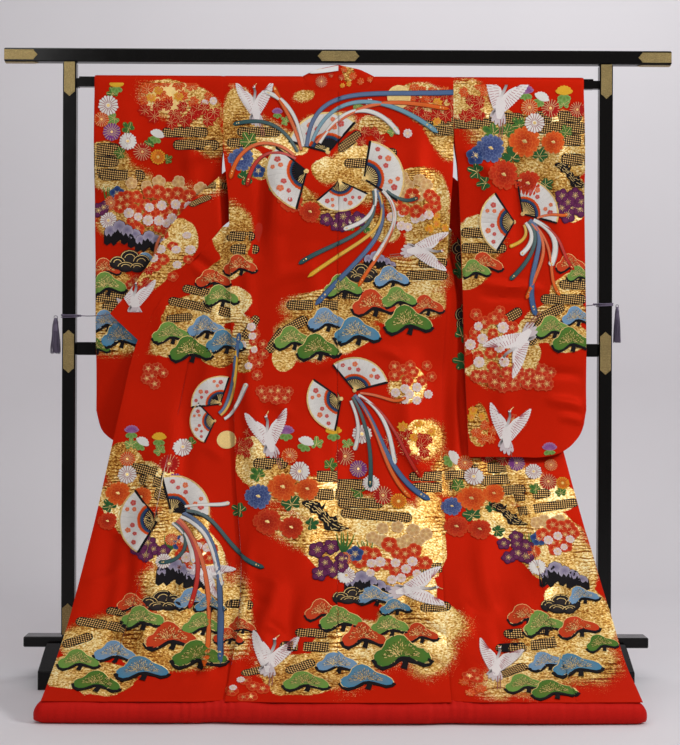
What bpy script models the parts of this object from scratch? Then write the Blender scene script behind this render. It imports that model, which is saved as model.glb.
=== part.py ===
"""Uchikake wedding kimono hung over the rod of a lacquered kimono stand.

The garment's back faces -Y. Its sleeves lie over the rod, its two fronts are drawn out to the sides by tie cords,
and its padded hem lies on the floor. Metres, +Z up, the floor at z = 0.
"""

import math
from collections import namedtuple

import bmesh
import bpy
import numpy as np
from mathutils import Vector

# ---------------------------------------------------------------- driving dimensions (metres)
STAND_Y = 0.2055          # plane of the posts behind the middle of the footprint
CLOTH = 0.0024            # brocade and lining together
SEAM = 0.0005             # clearance between two sewn pieces

RAIL = dict(length=1.810, depth=0.032, bottom=1.6690, top=1.7060)
ROD = dict(length=1.396, depth=0.0196, bottom=1.6030, top=1.6300, shift=-0.005)
MIDDLE = dict(depth=0.024, bottom=0.8750, top=0.9100)
BEAM = dict(length=1.688, depth=0.064, bottom=0.0870, top=0.1150)
POST = dict(centre=0.7274, width=0.0360, depth=0.0340)
FOOT = dict(centre=0.7300, width=0.0980, reach=0.1740, toe=0.0490, top=0.1000, flat=0.0500)
PLATE = 0.0010            # gilt sheet metal

SHOULDER = 1.6335         # middle of the cloth where it turns over the rod
TURN = ((0.0004, 1.6335), (0.0090, 1.6328), (0.0138, 1.6290), (0.0160, 1.6190))  # reach from the rod, height
DROP = 0.0168             # how far the cloth hangs from the rod's middle just below it
ARMHOLE = 1.450           # where the sleeve's join to the body ends
BODY_HALF = 0.3115        # shoulder width of half the body
NECK_HALF = 0.1000        # half of the neck opening along the shoulder
HEM = 0.0535              # lower edge of the outer cloth, on the padded roll
HEM_LAP = 0.0160          # how far that edge lies before the roll's middle
ROLL = dict(height=0.0530, depth=0.0560)

LACQUER = ((0.010, 0.009, 0.010), 0.16, 0.0)
GILT = ((0.62, 0.47, 0.20), 0.35, 1.0)
BROCADE = ((0.56, 0.032, 0.010), 0.55, 0.0)
LINING = ((0.50, 0.012, 0.010), 0.65, 0.0)
WHITE_SILK = ((0.78, 0.74, 0.70), 0.60, 0.0)
CORD = ((0.085, 0.065, 0.115), 0.60, 0.0)


# ---------------------------------------------------------------- small tools
def curve(knots, values):
    """A smooth function through the rows of a table that never overshoots them; knots may run either way."""
    k = np.array(knots, float)
    v = np.array(values, float)
    if k[0] > k[-1]:
        k, v = k[::-1], v[::-1]
    h = np.diff(k)
    d = np.diff(v) / h
    m = np.zeros(len(k))
    m[0], m[-1] = d[0], d[-1]
    for i in range(1, len(k) - 1):
        if d[i - 1] * d[i] > 0:
            w1, w2 = 2 * h[i] + h[i - 1], h[i] + 2 * h[i - 1]
            m[i] = (w1 + w2) / (w1 / d[i - 1] + w2 / d[i])

    def f(x):
        x = min(max(x, k[0]), k[-1])
        i = min(int(np.searchsorted(k, x, side="right")) - 1, len(k) - 2)
        t = (x - k[i]) / h[i]
        return float(
            (1 + 2 * t) * (1 - t) ** 2 * v[i] + t * (1 - t) ** 2 * h[i] * m[i]
            + t * t * (3 - 2 * t) * v[i + 1] + t * t * (t - 1) * h[i] * m[i + 1]
        )

    return f


def columns(rows, key):
    """One function of the key column for each other column of a table of named tuples."""
    fields = rows[0]._fields
    knots = [getattr(r, key) for r in rows]
    return {name: curve(knots, [getattr(r, name) for r in rows]) for name in fields if name != key}


def ease(x, low, high):
    t = min(max((x - low) / (high - low), 0.0), 1.0)
    return t * t * (3 - 2 * t)


def mix(a, b, t):
    return a + (b - a) * t


def material(name, finish):
    colour, roughness, metallic = finish
    mat = bpy.data.materials.get(name)
    if mat is None:
        mat = bpy.data.materials.new(name)
        mat.use_nodes = True
        shader = mat.node_tree.nodes["Principled BSDF"]
        shader.inputs["Base Color"].default_value = (*colour, 1.0)
        shader.inputs["Roughness"].default_value = roughness
        shader.inputs["Metallic"].default_value = metallic
    return mat


class Part:
    """The collection that the pieces go in, and the ways of making one."""

    def __init__(self, name):
        self.collection = bpy.data.collections.new(name)
        bpy.context.scene.collection.children.link(self.collection)

    def add(self, name, mesh, finish_name, finish, at=(0.0, 0.0, 0.0)):
        obj = bpy.data.objects.new(name, mesh)
        obj.location = at
        self.collection.objects.link(obj)
        mesh.materials.append(material(finish_name, finish))
        return obj

    def box(self, name, size, at, finish_name, finish, bevel=0.002):
        """A block with eased edges, placed by its middle."""
        bm = bmesh.new()
        bmesh.ops.create_cube(bm, size=1.0)
        bmesh.ops.scale(bm, vec=size, verts=bm.verts)
        mesh = bpy.data.meshes.new(name)
        bm.to_mesh(mesh)
        bm.free()
        obj = self.add(name, mesh, finish_name, finish, at)
        if bevel:
            mod = obj.modifiers.new("eased edges", "BEVEL")
            mod.width = bevel
            mod.segments = 1
        return obj

    def outline(self, name, points, thickness, at, turn, finish_name, finish, bevel=0.0):
        """A flat outline with thickness, from a 2D curve; turn stands it up."""
        data = bpy.data.curves.new(name, "CURVE")
        data.dimensions = "2D"
        data.fill_mode = "BOTH"
        data.extrude = thickness / 2
        spline = data.splines.new("POLY")
        spline.points.add(len(points) - 1)
        for point, (x, y) in zip(spline.points, points):
            point.co = (x, y, 0.0, 1.0)
        spline.use_cyclic_u = True
        data.materials.append(material(finish_name, finish))
        obj = bpy.data.objects.new(name, data)
        obj.location = at
        obj.rotation_euler = turn
        self.collection.objects.link(obj)
        if bevel:
            weld = obj.modifiers.new("weld", "WELD")
            weld.merge_threshold = 0.00005
            mod = obj.modifiers.new("eased edges", "BEVEL")
            mod.width = bevel
            mod.segments = 1
        return obj

    def tube(self, name, points, diameter, finish_name, finish, closed=False):
        """A round cord along a smooth line."""
        data = bpy.data.curves.new(name, "CURVE")
        data.dimensions = "3D"
        data.bevel_depth = diameter / 2
        data.bevel_resolution = 2
        data.use_fill_caps = True
        spline = data.splines.new("POLY")
        spline.points.add(len(points) - 1)
        for point, co in zip(spline.points, points):
            point.co = (*co, 1.0)
        spline.use_cyclic_u = closed
        data.materials.append(material(finish_name, finish))
        obj = bpy.data.objects.new(name, data)
        self.collection.objects.link(obj)
        return obj

    def sheet(self, name, surface, rows, cols, finish_name=None, finish=BROCADE, thickness=CLOTH):
        """A wall of cloth: a grid laid on surface(i, j), row i down and column j across, then given its thickness."""
        bm = bmesh.new()
        bmesh.ops.create_grid(bm, x_segments=cols - 1, y_segments=rows - 1, size=0.5)
        for v in bm.verts:
            j = round((v.co.x + 0.5) * (cols - 1))
            i = round((0.5 - v.co.y) * (rows - 1))
            v.co = Vector(surface(i, j)) + Vector((0.0, STAND_Y, 0.0))
        mesh = bpy.data.meshes.new(name)
        bm.to_mesh(mesh)
        bm.free()
        mesh.shade_smooth()
        obj = self.add(name, mesh, finish_name or "brocade", finish)
        wall = obj.modifiers.new("cloth", "SOLIDIFY")
        wall.thickness = thickness
        wall.offset = 0.0
        return obj


# ---------------------------------------------------------------- the cloth's tables
# The back body: how far each side edge stands from the centre, and how far the cloth swings out from the stand.
BackRow = namedtuple("BackRow", "z left right swing")
BACK = [
    BackRow(1.620, 0.3115, 0.3115, 0.0168),
    BackRow(1.450, 0.3115, 0.3115, 0.0200),
    BackRow(1.375, 0.3030, 0.3095, 0.0365),
    BackRow(1.295, 0.2940, 0.3035, 0.0430),
    BackRow(1.150, 0.2895, 0.2950, 0.0490),
    BackRow(0.985, 0.2860, 0.2890, 0.0650),
    BackRow(0.850, 0.2790, 0.2800, 0.0870),
    BackRow(0.757, 0.2755, 0.2760, 0.1110),
    BackRow(0.650, 0.2710, 0.2740, 0.1440),
    BackRow(0.550, 0.2650, 0.2730, 0.1820),
    BackRow(0.420, 0.2520, 0.2690, 0.2420),
    BackRow(0.308, 0.2420, 0.2650, 0.3150),
    BackRow(0.200, 0.2440, 0.2670, 0.3980),
    BackRow(0.120, 0.2570, 0.2670, 0.4680),
    BackRow(0.080, 0.2620, 0.2675, 0.5270),
    BackRow(HEM, 0.2660, 0.2680, 0.5720),
]

# The fronts below the armhole: depth of the tuck behind the back's edge, where the okumi seam and the front edge
# stand from the centre, and how far each swings out. Left hangs before its sleeve and right behind its own.
FrontRow = namedtuple("FrontRow", "z tuck seam seam_swing edge edge_swing")
FRONT_LEFT = [
    FrontRow(1.222, 0.0970, 0.2960, 0.0270, 0.3110, 0.0290),
    FrontRow(1.180, 0.0980, 0.3040, 0.0330, 0.3460, 0.0350),
    FrontRow(1.080, 0.0980, 0.3350, 0.0410, 0.4320, 0.0420),
    FrontRow(0.985, 0.0960, 0.3640, 0.0490, 0.4980, 0.0480),
    FrontRow(0.900, 0.0860, 0.3890, 0.0580, 0.5410, 0.0520),
    FrontRow(0.757, 0.0640, 0.4180, 0.0880, 0.5730, 0.0720),
    FrontRow(0.604, 0.0450, 0.4450, 0.1480, 0.6010, 0.1230),
    FrontRow(0.450, 0.0260, 0.4710, 0.2150, 0.6270, 0.1870),
    FrontRow(0.308, 0.0120, 0.4980, 0.2980, 0.6520, 0.2750),
    FrontRow(0.200, 0.0100, 0.5220, 0.3820, 0.6700, 0.3600),
    FrontRow(0.120, 0.0100, 0.5400, 0.4530, 0.6870, 0.4400),
    FrontRow(0.080, 0.0100, 0.5480, 0.5150, 0.6940, 0.5050),
    FrontRow(HEM, 0.0100, 0.5530, 0.5620, 0.6990, 0.5560),
]
FRONT_RIGHT = [
    FrontRow(1.222, 0.0970, 0.2980, -0.0290, 0.3110, -0.0310),
    FrontRow(1.180, 0.0980, 0.3060, -0.0250, 0.3460, -0.0270),
    FrontRow(1.080, 0.0980, 0.3350, -0.0100, 0.4320, -0.0110),
    FrontRow(0.985, 0.0960, 0.3640, 0.0040, 0.4980, 0.0030),
    FrontRow(0.900, 0.0860, 0.3890, 0.0175, 0.5410, 0.0165),
    FrontRow(0.757, 0.0640, 0.4180, 0.0330, 0.5750, 0.0310),
    FrontRow(0.604, 0.0450, 0.4450, 0.0840, 0.6090, 0.0760),
    FrontRow(0.450, 0.0260, 0.4780, 0.1690, 0.6410, 0.1550),
    FrontRow(0.308, 0.0140, 0.5150, 0.2760, 0.6680, 0.2620),
    FrontRow(0.200, 0.0120, 0.5330, 0.3680, 0.6900, 0.3560),
    FrontRow(0.120, 0.0100, 0.5500, 0.4480, 0.7030, 0.4380),
    FrontRow(0.080, 0.0100, 0.5600, 0.5130, 0.7140, 0.5050),
    FrontRow(HEM, 0.0100, 0.5640, 0.5620, 0.7200, 0.5560),
]

# The fronts above that, where each turns from the shoulder to lie face out: the side edge, the tuck's fold and the
# collar seam, each as distance from the centre, distance behind the rod and height.
TurnRow = namedtuple("TurnRow", "side_x side_y side_z fold_x fold_y fold_z seam_x seam_y seam_z")
TURN_ROWS = [
    TurnRow(0.3115, 0.0168, 1.600, 0.2060, 0.0168, 1.600, 0.1010, 0.0168, 1.600),
    TurnRow(0.3115, 0.0175, 1.545, 0.2070, 0.0190, 1.548, 0.1080, 0.0250, 1.555),
    TurnRow(0.3110, 0.0180, 1.490, 0.2070, 0.0210, 1.495, 0.1300, 0.0430, 1.505),
    TurnRow(0.3080, 0.0140, 1.440, 0.2050, 0.0180, 1.445, 0.1620, 0.0580, 1.452),
    TurnRow(0.3010, -0.0030, 1.390, 0.2020, 0.0060, 1.393, 0.2000, 0.0620, 1.400),
    TurnRow(0.2960, -0.0220, 1.340, 0.1985, -0.0100, 1.342, 0.2380, 0.0530, 1.347),
    TurnRow(0.2930, -0.0345, 1.290, 0.1965, -0.0230, 1.292, 0.2680, 0.0330, 1.293),
    TurnRow(0.2905, -0.0400, 1.247, 0.1950, -0.0310, 1.248, 0.2860, 0.0040, 1.248),
]
TURN_RIGHT_LAST = TurnRow(0.3005, -0.0400, 1.247, 0.2040, -0.0300, 1.248, 0.2890, 0.0310, 1.248)

# The neckline, as distance from the centre and length of cloth cut away from the shoulder fold, and the collar's
# free edge beside it.
NeckRow = namedtuple("NeckRow", "x cut free_x free_y free_z")
NECKLINE = [
    NeckRow(0.0000, 0.0540, 0.0003, -0.0100, 1.6640),
    NeckRow(0.0450, 0.0500, 0.0370, -0.0105, 1.6560),
    NeckRow(0.0780, 0.0380, 0.0620, -0.0110, 1.6500),
    NeckRow(0.0920, 0.0240, 0.0700, -0.0100, 1.6465),
    NeckRow(0.0970, 0.0130, 0.0740, -0.0070, 1.6455),
    NeckRow(0.0995, 0.0060, 0.0755, -0.0010, 1.6455),
    NeckRow(0.1005, 0.0000, 0.0765, 0.0050, 1.6460),
]

# The collar past the shoulder, its free edge beside each row of the front's collar seam, then beside the okumi.
FreeRow = namedtuple("FreeRow", "x y z")
COLLAR_TURN = [
    FreeRow(0.0775, 0.0120, 1.6440), FreeRow(0.0770, 0.0190, 1.6380), FreeRow(0.0760, 0.0240, 1.6240),
    FreeRow(0.0720, 0.0290, 1.6000), FreeRow(0.0760, 0.0450, 1.5620), FreeRow(0.0990, 0.0700, 1.5300),
    FreeRow(0.1430, 0.0840, 1.5000), FreeRow(0.1960, 0.0820, 1.4700), FreeRow(0.2450, 0.0640, 1.4320),
    FreeRow(0.2820, 0.0380, 1.3980),
]
COLLAR_ROWS = 6           # how many rows of the okumi the collar is sewn beside
COLLAR_LEFT = [
    FreeRow(0.3070, -0.0120, 1.3720), FreeRow(0.3300, -0.0290, 1.3490), FreeRow(0.3800, -0.0320, 1.3050),
    FreeRow(0.4500, -0.0350, 1.2230), FreeRow(0.5080, -0.0400, 1.1210), FreeRow(0.5680, -0.0450, 1.0370),
    FreeRow(0.6110, -0.0480, 0.9850),
]
COLLAR_RIGHT = [
    FreeRow(0.3060, 0.0350, 1.3750), FreeRow(0.3300, 0.0330, 1.3540), FreeRow(0.3820, 0.0290, 1.3080),
    FreeRow(0.4500, 0.0230, 1.2300), FreeRow(0.5100, 0.0140, 1.1350), FreeRow(0.5740, 0.0030, 1.0580),
    FreeRow(0.6190, -0.0030, 1.0100),
]

# The sleeves: how far the wall before the rod and the wall behind it hang out from the rod's middle (forwards
# positive), and where the inner and the outer edge stand from the centre.
SleeveRow = namedtuple("SleeveRow", "z before behind inner outer")
SLEEVE_LEFT = [
    SleeveRow(1.600, 0.0168, -0.0168, 0.3120, 0.6590),
    SleeveRow(1.450, 0.0190, -0.0180, 0.3123, 0.6605),
    SleeveRow(1.400, 0.0140, -0.0140, 0.3165, 0.6605),
    SleeveRow(1.300, 0.0100, -0.0110, 0.3180, 0.6600),
    SleeveRow(1.200, 0.0110, -0.0070, 0.3190, 0.6585),
    SleeveRow(1.100, 0.0160, 0.0010, 0.3200, 0.6560),
    SleeveRow(1.000, 0.0270, 0.0110, 0.3210, 0.6545),
    SleeveRow(0.920, 0.0312, 0.0163, 0.3220, 0.6525),
    SleeveRow(0.800, 0.0318, 0.0172, 0.3230, 0.6500),
    SleeveRow(0.700, 0.0328, 0.0224, 0.3240, 0.6500),
    SleeveRow(0.634, 0.0335, 0.0305, 0.3250, 0.6500),
]
SLEEVE_RIGHT = [
    SleeveRow(1.600, 0.0168, -0.0168, 0.3120, 0.6650),
    SleeveRow(1.450, 0.0190, -0.0180, 0.3170, 0.6690),
    SleeveRow(1.400, 0.0160, -0.0130, 0.3240, 0.6695),
    SleeveRow(1.300, 0.0150, -0.0090, 0.3300, 0.6705),
    SleeveRow(1.200, 0.0190, -0.0030, 0.3345, 0.6710),
    SleeveRow(1.100, 0.0270, 0.0070, 0.3375, 0.6715),
    SleeveRow(1.000, 0.0370, 0.0180, 0.3400, 0.6720),
    SleeveRow(0.920, 0.0440, 0.0270, 0.3415, 0.6720),
    SleeveRow(0.800, 0.0580, 0.0430, 0.3450, 0.6690),
    SleeveRow(0.700, 0.0770, 0.0660, 0.3480, 0.6670),
    SleeveRow(0.607, 0.1010, 0.0980, 0.3500, 0.6660),
]
SLEEVE_CORNER = dict(left=0.0900, right=0.1250)      # radius of the rounded outer bottom corner
SLEEVE_BOTTOM = dict(left=0.6340, right=0.6070)
WRIST = 1.350                                        # lower end of the wrist opening

# The padded roll along the hem: how far its middle stands from the stand, with the small gathers at the side seams.
RollRow = namedtuple("RollRow", "x swing size")
ROLL_ROWS = [
    RollRow(-0.7200, 0.5430, 0.30),
    RollRow(-0.7120, 0.5440, 0.72),
    RollRow(-0.6950, 0.5450, 0.96),
    RollRow(-0.6000, 0.5480, 1.00),
    RollRow(-0.4400, 0.5500, 0.99),
    RollRow(-0.3400, 0.5480, 0.97),
    RollRow(-0.2900, 0.5450, 0.93),
    RollRow(-0.2300, 0.5490, 0.97),
    RollRow(-0.1000, 0.5560, 1.00),
    RollRow(0.0500, 0.5580, 1.00),
    RollRow(0.2000, 0.5560, 0.99),
    RollRow(0.2700, 0.5500, 0.94),
    RollRow(0.3200, 0.5520, 0.95),
    RollRow(0.4200, 0.5540, 1.00),
    RollRow(0.6000, 0.5500, 1.00),
    RollRow(0.7080, 0.5460, 0.96),
    RollRow(0.7260, 0.5450, 0.72),
    RollRow(0.7340, 0.5440, 0.30),
]

# The largest folds of the back: centre line, half width, height above the cloth, and the stretch it runs over.
FoldRow = namedtuple("FoldRow", "x_top x_low width rise z_top z_low")
BACK_FOLDS = [
    FoldRow(-0.175, -0.195, 0.055, 0.0060, 1.500, 0.900),
    FoldRow(-0.120, -0.060, 0.080, 0.0080, 0.700, 0.120),
    FoldRow(0.100, 0.150, 0.070, 0.0070, 0.950, 0.250),
    FoldRow(0.215, 0.225, 0.045, -0.0050, 1.300, 0.700),
]


# ---------------------------------------------------------------- the cloth's shape
BACK_AT = columns(BACK, "z")
FRONT = dict(left=FRONT_LEFT, right=FRONT_RIGHT)
FRONT_AT = {name: columns(table, "z") for name, table in FRONT.items()}
SLEEVE_AT = dict(left=columns(SLEEVE_LEFT, "z"), right=columns(SLEEVE_RIGHT, "z"))
SIDE = dict(left=-1.0, right=1.0)
LOWER_ROWS = (1.222, 1.180, 1.120, 1.050, 0.985, 0.915, 0.840, 0.757, 0.660, 0.560, 0.450,
              0.350, 0.265, 0.200, 0.155, 0.110, 0.080, HEM)
BACK_ROWS = (1.600, 1.550, 1.500, 1.450, 1.400, 1.350, 1.295, 1.240) + LOWER_ROWS[1:]
ROLL_AT = columns(ROLL_ROWS, "x")


def folds(x, z):
    total = 0.0
    for f in BACK_FOLDS:
        along = (f.z_top - z) / (f.z_top - f.z_low)
        if 0 < along < 1:
            middle = mix(f.x_top, f.x_low, along)
            total += f.rise * math.sin(math.pi * along) ** 0.7 * math.exp(-(((x - middle) / f.width) ** 2))
    return total


def onto_roll(x, z, swing, hem_swing):
    """The swing of a panel whose lower edge is brought onto the padded roll."""
    return swing + (ROLL_AT["swing"](x) + HEM_LAP - hem_swing) * ease(z, 0.21, HEM)


def back_depth(x, z):
    """Distance of the back body behind the posts' plane, its edges drawn in below the hips."""
    side = "left" if x < 0 else "right"
    near_edge = ease(abs(x) / BACK_AT[side](z), 0.72, 1.02)
    drawn_in = 0.014 * near_edge * ease(z, 1.0, 0.8) * ease(z, 0.08, 0.25)
    swing = onto_roll(x, z, BACK_AT["swing"](z), BACK[-1].swing)
    return -swing - folds(x, z) * ease(z, 1.60, 1.50) + drawn_in


def over_rod(length):
    """Reach and height of the cloth at a length down from the shoulder fold."""
    path = TURN + ((DROP, 1.600), (DROP + 0.0008, 1.560), (DROP + 0.0010, 1.550))
    for (r0, z0), (r1, z1) in zip(path, path[1:]):
        step = math.hypot(r1 - r0, z1 - z0)
        if length <= step:
            return mix(r0, r1, length / step), mix(z0, z1, length / step)
        length -= step
    return path[-1]


ROD_LENGTHS = (0.0, 0.0086, 0.0147, 0.0250, 0.0440)      # the rows round the rod, as lengths down from the fold


def back_surface(side):
    sign = SIDE[side]
    neck = [r.x for r in NECKLINE]
    across = [x / BODY_HALF for x in neck] + [0.58, 0.80, 1.0]
    cuts = [r.cut for r in NECKLINE] + [0.0] * 3

    def at(i, j):
        u, cut = across[j], cuts[j]
        if i < len(ROD_LENGTHS):
            reach, z = over_rod(max(ROD_LENGTHS[i], cut + 0.0015 * i))
            return sign * mix(SEAM / 2, BODY_HALF, u), -reach, z
        z = BACK_ROWS[i - len(ROD_LENGTHS) + 1]
        x = mix(SEAM / 2, BACK_AT[side](z), u)
        return sign * x, back_depth(sign * x, z), z

    return at, len(ROD_LENGTHS) + len(BACK_ROWS) - 1, len(across)


TUCK_GAP = 0.0075         # between the two layers of the tuck behind the back's edge


def turned(side_pt, fold_pt, seam_pt):
    """Points across a front where it turns over: out to the fold, round it and on to the seam."""
    a, f, s = Vector(side_pt), Vector(fold_pt), Vector(seam_pt)
    to_side, to_seam = (a - f).normalized(), (s - f).normalized()
    shut = (1.0 + to_side.dot(to_seam)) / 2.0                    # 1 where the fold lies flat, 0 where it is open
    half = Vector((0.0, TUCK_GAP / 2, 0.0)) * shut
    before, after = f + to_side * 0.004 - half, f + to_seam * 0.004 + half
    return [a, a.lerp(before, 0.5), before, f, after] + [after.lerp(s, t) for t in (0.2, 0.4, 0.6, 0.8, 1.0)]


def front_row(side, z):
    """Points across a front below the armhole: in behind the back's edge, round the tuck and out to the seam."""
    sign, at_z = SIDE[side], FRONT_AT[side]
    edge = BACK_AT[side](z) - 0.0020
    inner = edge - at_z["tuck"](z)
    seam = at_z["seam"](z) - SEAM / 2
    seam_y = -onto_roll(sign * seam, z, at_z["seam_swing"](z), FRONT[side][-1].seam_swing)
    lap = mix(0.0075, 0.0045, ease(z, 0.15, 0.35))
    gap = mix(0.0100, TUCK_GAP, ease(z, 0.15, 0.35))

    low = min(edge, seam - 0.030)

    def layer(x, behind):
        y = back_depth(sign * min(x, edge), z) + lap + behind
        if x > low and behind == gap:
            straight, quick = (x - low) / (seam - low), ease(x, low, min(low + 0.055, seam - 0.002))
            y = mix(y, seam_y, quick if side == "right" and z > 0.5 else mix(straight, quick, ease(z, 0.25, 0.08)))
        return Vector((sign * x, y, z))

    start = inner + 0.003
    return (
        [layer(edge, 0.0), layer((edge + start) / 2, 0.0), layer(start, 0.0), layer(inner, gap / 2)]
        + [layer(mix(start, seam, t), gap) for t in (0.0, 0.2, 0.4, 0.6, 0.8, 1.0)]
    )


def front_rows(side):
    sign = SIDE[side]
    rows = []
    for reach, z in TURN:
        xs = (BODY_HALF, 0.26, 0.211, 0.206, 0.201, 0.18, 0.16, 0.14, 0.12, NECK_HALF + SEAM)
        rows.append([Vector((sign * x, reach, z)) for x in xs])
    for t in TURN_ROWS[:-1] + [TURN_ROWS[-1] if side == "left" else TURN_RIGHT_LAST]:
        rows.append(turned(
            (sign * t.side_x, t.side_y, t.side_z),
            (sign * t.fold_x, t.fold_y, t.fold_z),
            (sign * t.seam_x, t.seam_y, t.seam_z),
        ))
    return rows + [front_row(side, z) for z in LOWER_ROWS]


def front_surface(side):
    rows = front_rows(side)
    return (lambda i, j: rows[i][j]), len(rows), 10


def next_edge(before, edge, after):
    """The line where a panel starts beside the edge of the one before it, so that their thick rims stay apart.

    before and after are the points one column inside each panel, edge the first panel's edge, row by row.
    """
    points = []
    for i, (b, e, a) in enumerate(zip(before, edge, after)):
        along = (edge[min(i + 1, len(edge) - 1)] - edge[max(i - 1, 0)]).normalized()
        out, on = e - b, a - e
        out = (out - along * out.dot(along)).normalized()
        on = (on - along * on.dot(along)).normalized()
        turn = out.dot(on)
        points.append(e + on * (SEAM + CLOTH * math.sqrt((1.0 - turn) / max(1.0 + turn, 0.25))))
    return points


def okumi_lines(side):
    """The okumi's two long edges: its seam to the front and the garment's front edge."""
    sign, at_z = SIDE[side], FRONT_AT[side]
    free = []
    for z in LOWER_ROWS:
        edge = at_z["edge"](z)
        swing = onto_roll(sign * edge, z, at_z["edge_swing"](z), FRONT[side][-1].edge_swing)
        free.append(Vector((sign * edge, -swing, z)))
    rows = [front_row(side, z)[-2:] for z in LOWER_ROWS]
    return next_edge([r[0] for r in rows], [r[1] for r in rows], free), free


def okumi_surface(side):
    near, far = okumi_lines(side)
    return (lambda i, j: near[i].lerp(far[i], j / 4)), len(LOWER_ROWS), 5


def collar_surface(side):
    """The collar band: round the neck, over the rod, and down beside the front and then the okumi."""
    sign = SIDE[side]
    near, far = [], []
    for r in NECKLINE:
        reach, z = over_rod(r.cut)
        side_on = ease(r.x, 0.06, 0.10)
        near.append(Vector((sign * max(r.x - 0.0016 * side_on, 0.0003), -reach, z + 0.0016 * (1 - side_on))))
        far.append(Vector((sign * r.free_x, r.free_y, r.free_z)))
    rows = front_rows(side)[1:len(TURN) + len(TURN_ROWS)]
    seam, edge = okumi_lines(side)
    lower = COLLAR_ROWS
    free = COLLAR_TURN + (COLLAR_LEFT if side == "left" else COLLAR_RIGHT)
    free = [Vector((sign * f.x, f.y, f.z)) for f in free]
    near += next_edge([r[-2] for r in rows] + seam[:lower], [r[-1] for r in rows] + edge[:lower], free)
    far += free
    return (lambda i, j: near[i].lerp(far[i], j / 4)), len(near), 5


SLEEVE_DOWN = (1.600, 1.540, 1.490, 1.450, 1.400, 1.350, 1.290, 1.190, 1.080, 0.970, 0.870, 0.770, 0.690)
SLEEVE_ACROSS = (0.0, 0.20, 0.42, 0.62, 0.78, 0.89, 0.96, 1.0)


def sleeve_depth(side, wall, u, z):
    """Distance behind the posts' plane; the walls meet at the bottom and at the outer edge below the wrist."""
    at_z = SLEEVE_AT[side]
    before, behind = at_z["before"](z), at_z["behind"](z)
    middle = (before + behind) / 2
    shut = ease(u, 0.74, 0.98) * ease(z, WRIST + 0.03, WRIST - 0.04)
    half = mix((before - behind) / 2, (CLOTH + 0.0006) / 2, shut)
    return -(middle + half) if wall == "back" else -(middle - half)


def sleeve_surface(side, wall):
    sign = SIDE[side]
    at_z = SLEEVE_AT[side]
    bottom, corner = SLEEVE_BOTTOM[side], SLEEVE_CORNER[side]

    def at(i, j):
        u = SLEEVE_ACROSS[j]
        if i < len(TURN):
            reach, z = TURN[i]
            x = mix(at_z["inner"](1.60), at_z["outer"](1.60), u)
            return sign * x, (-reach if wall == "back" else reach), z
        width = at_z["outer"](bottom) - at_z["inner"](bottom)
        past = max(0.0, u * width - (width - corner))
        lift = corner - math.sqrt(max(corner ** 2 - past ** 2, 0.0))
        k = i - len(TURN)
        level = (SLEEVE_DOWN + (0.640, bottom))[k] if side == "left" else (SLEEVE_DOWN + (0.645, bottom))[k]
        z = 1.600 - (1.600 - level) * (1.600 - bottom - lift) / (1.600 - bottom)
        x = mix(at_z["inner"](z), at_z["outer"](z), u)
        return sign * x, sleeve_depth(side, wall, u, z), z

    return at, len(TURN) + len(SLEEVE_DOWN) + 2, len(SLEEVE_ACROSS)


def lining_surface():
    """The white strip on the upper part of the collar's left half, where its inside is folded out."""
    collar, _, _ = collar_surface("left")
    return (lambda i, j: collar(i, 4).lerp(collar(i, 3), 0.15 + 0.35 * j) - Vector((0.0, 0.0040, 0.0))), 5, 3


def hem_roll(part):
    """The padded roll: rings of one section along the hem, flat underneath."""
    swing, size = ROLL_AT["swing"], ROLL_AT["size"]
    ends = (ROLL_ROWS[0].x, ROLL_ROWS[-1].x)
    stations = [ends[0], -0.7165, -0.7120, -0.7040, -0.6900]
    stations += [x / 1000 for x in range(-625, 651, 75)] + [0.6850]
    stations += [0.7060, 0.7200, 0.7265, 0.7310, ends[1]]
    around = 12
    bm = bmesh.new()
    rings = []
    for x in stations:
        half_y, high = ROLL["depth"] / 2 * size(x), ROLL["height"] * (0.35 + 0.65 * size(x))
        middle = ROLL["height"] / 2 * (0.55 + 0.45 * size(x))
        ring = []
        for k in range(around):
            a = 2 * math.pi * (k + 0.5) / around
            y = -swing(x) - half_y * math.cos(a)
            z = middle + high / 2 * 1.06 * math.sin(a)
            ring.append(bm.verts.new((x, y + STAND_Y, min(max(z, 0.0 if size(x) > 0.9 else 0.004), high))))
        rings.append(ring)
    for a, b in zip(rings, rings[1:]):
        for k in range(around):
            bm.faces.new((a[k], b[k], b[(k + 1) % around], a[(k + 1) % around]))
    bm.faces.new(rings[0])
    bm.faces.new(list(reversed(rings[-1])))
    bmesh.ops.recalc_face_normals(bm, faces=bm.faces)
    mesh = bpy.data.meshes.new("hem_roll")
    bm.to_mesh(mesh)
    bm.free()
    mesh.shade_smooth()
    part.add("hem_roll", mesh, "lining", LINING)


# ---------------------------------------------------------------- the stand
def pointed(length, width, tips):
    """Outline of a gilt plate along X, with a shaped point at each end that tips names."""
    half, w = length / 2, width / 2
    point = [(half - 0.85 * w, w), (half - 0.60 * w, 0.62 * w), (half, 0.0), (half - 0.60 * w, -0.62 * w),
             (half - 0.85 * w, -w)]
    square = [(half, w), (half, -w)]
    right = point if "high" in tips else square
    left = [(-x, -y) for x, y in (point if "low" in tips else square)]
    return right + left


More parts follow.
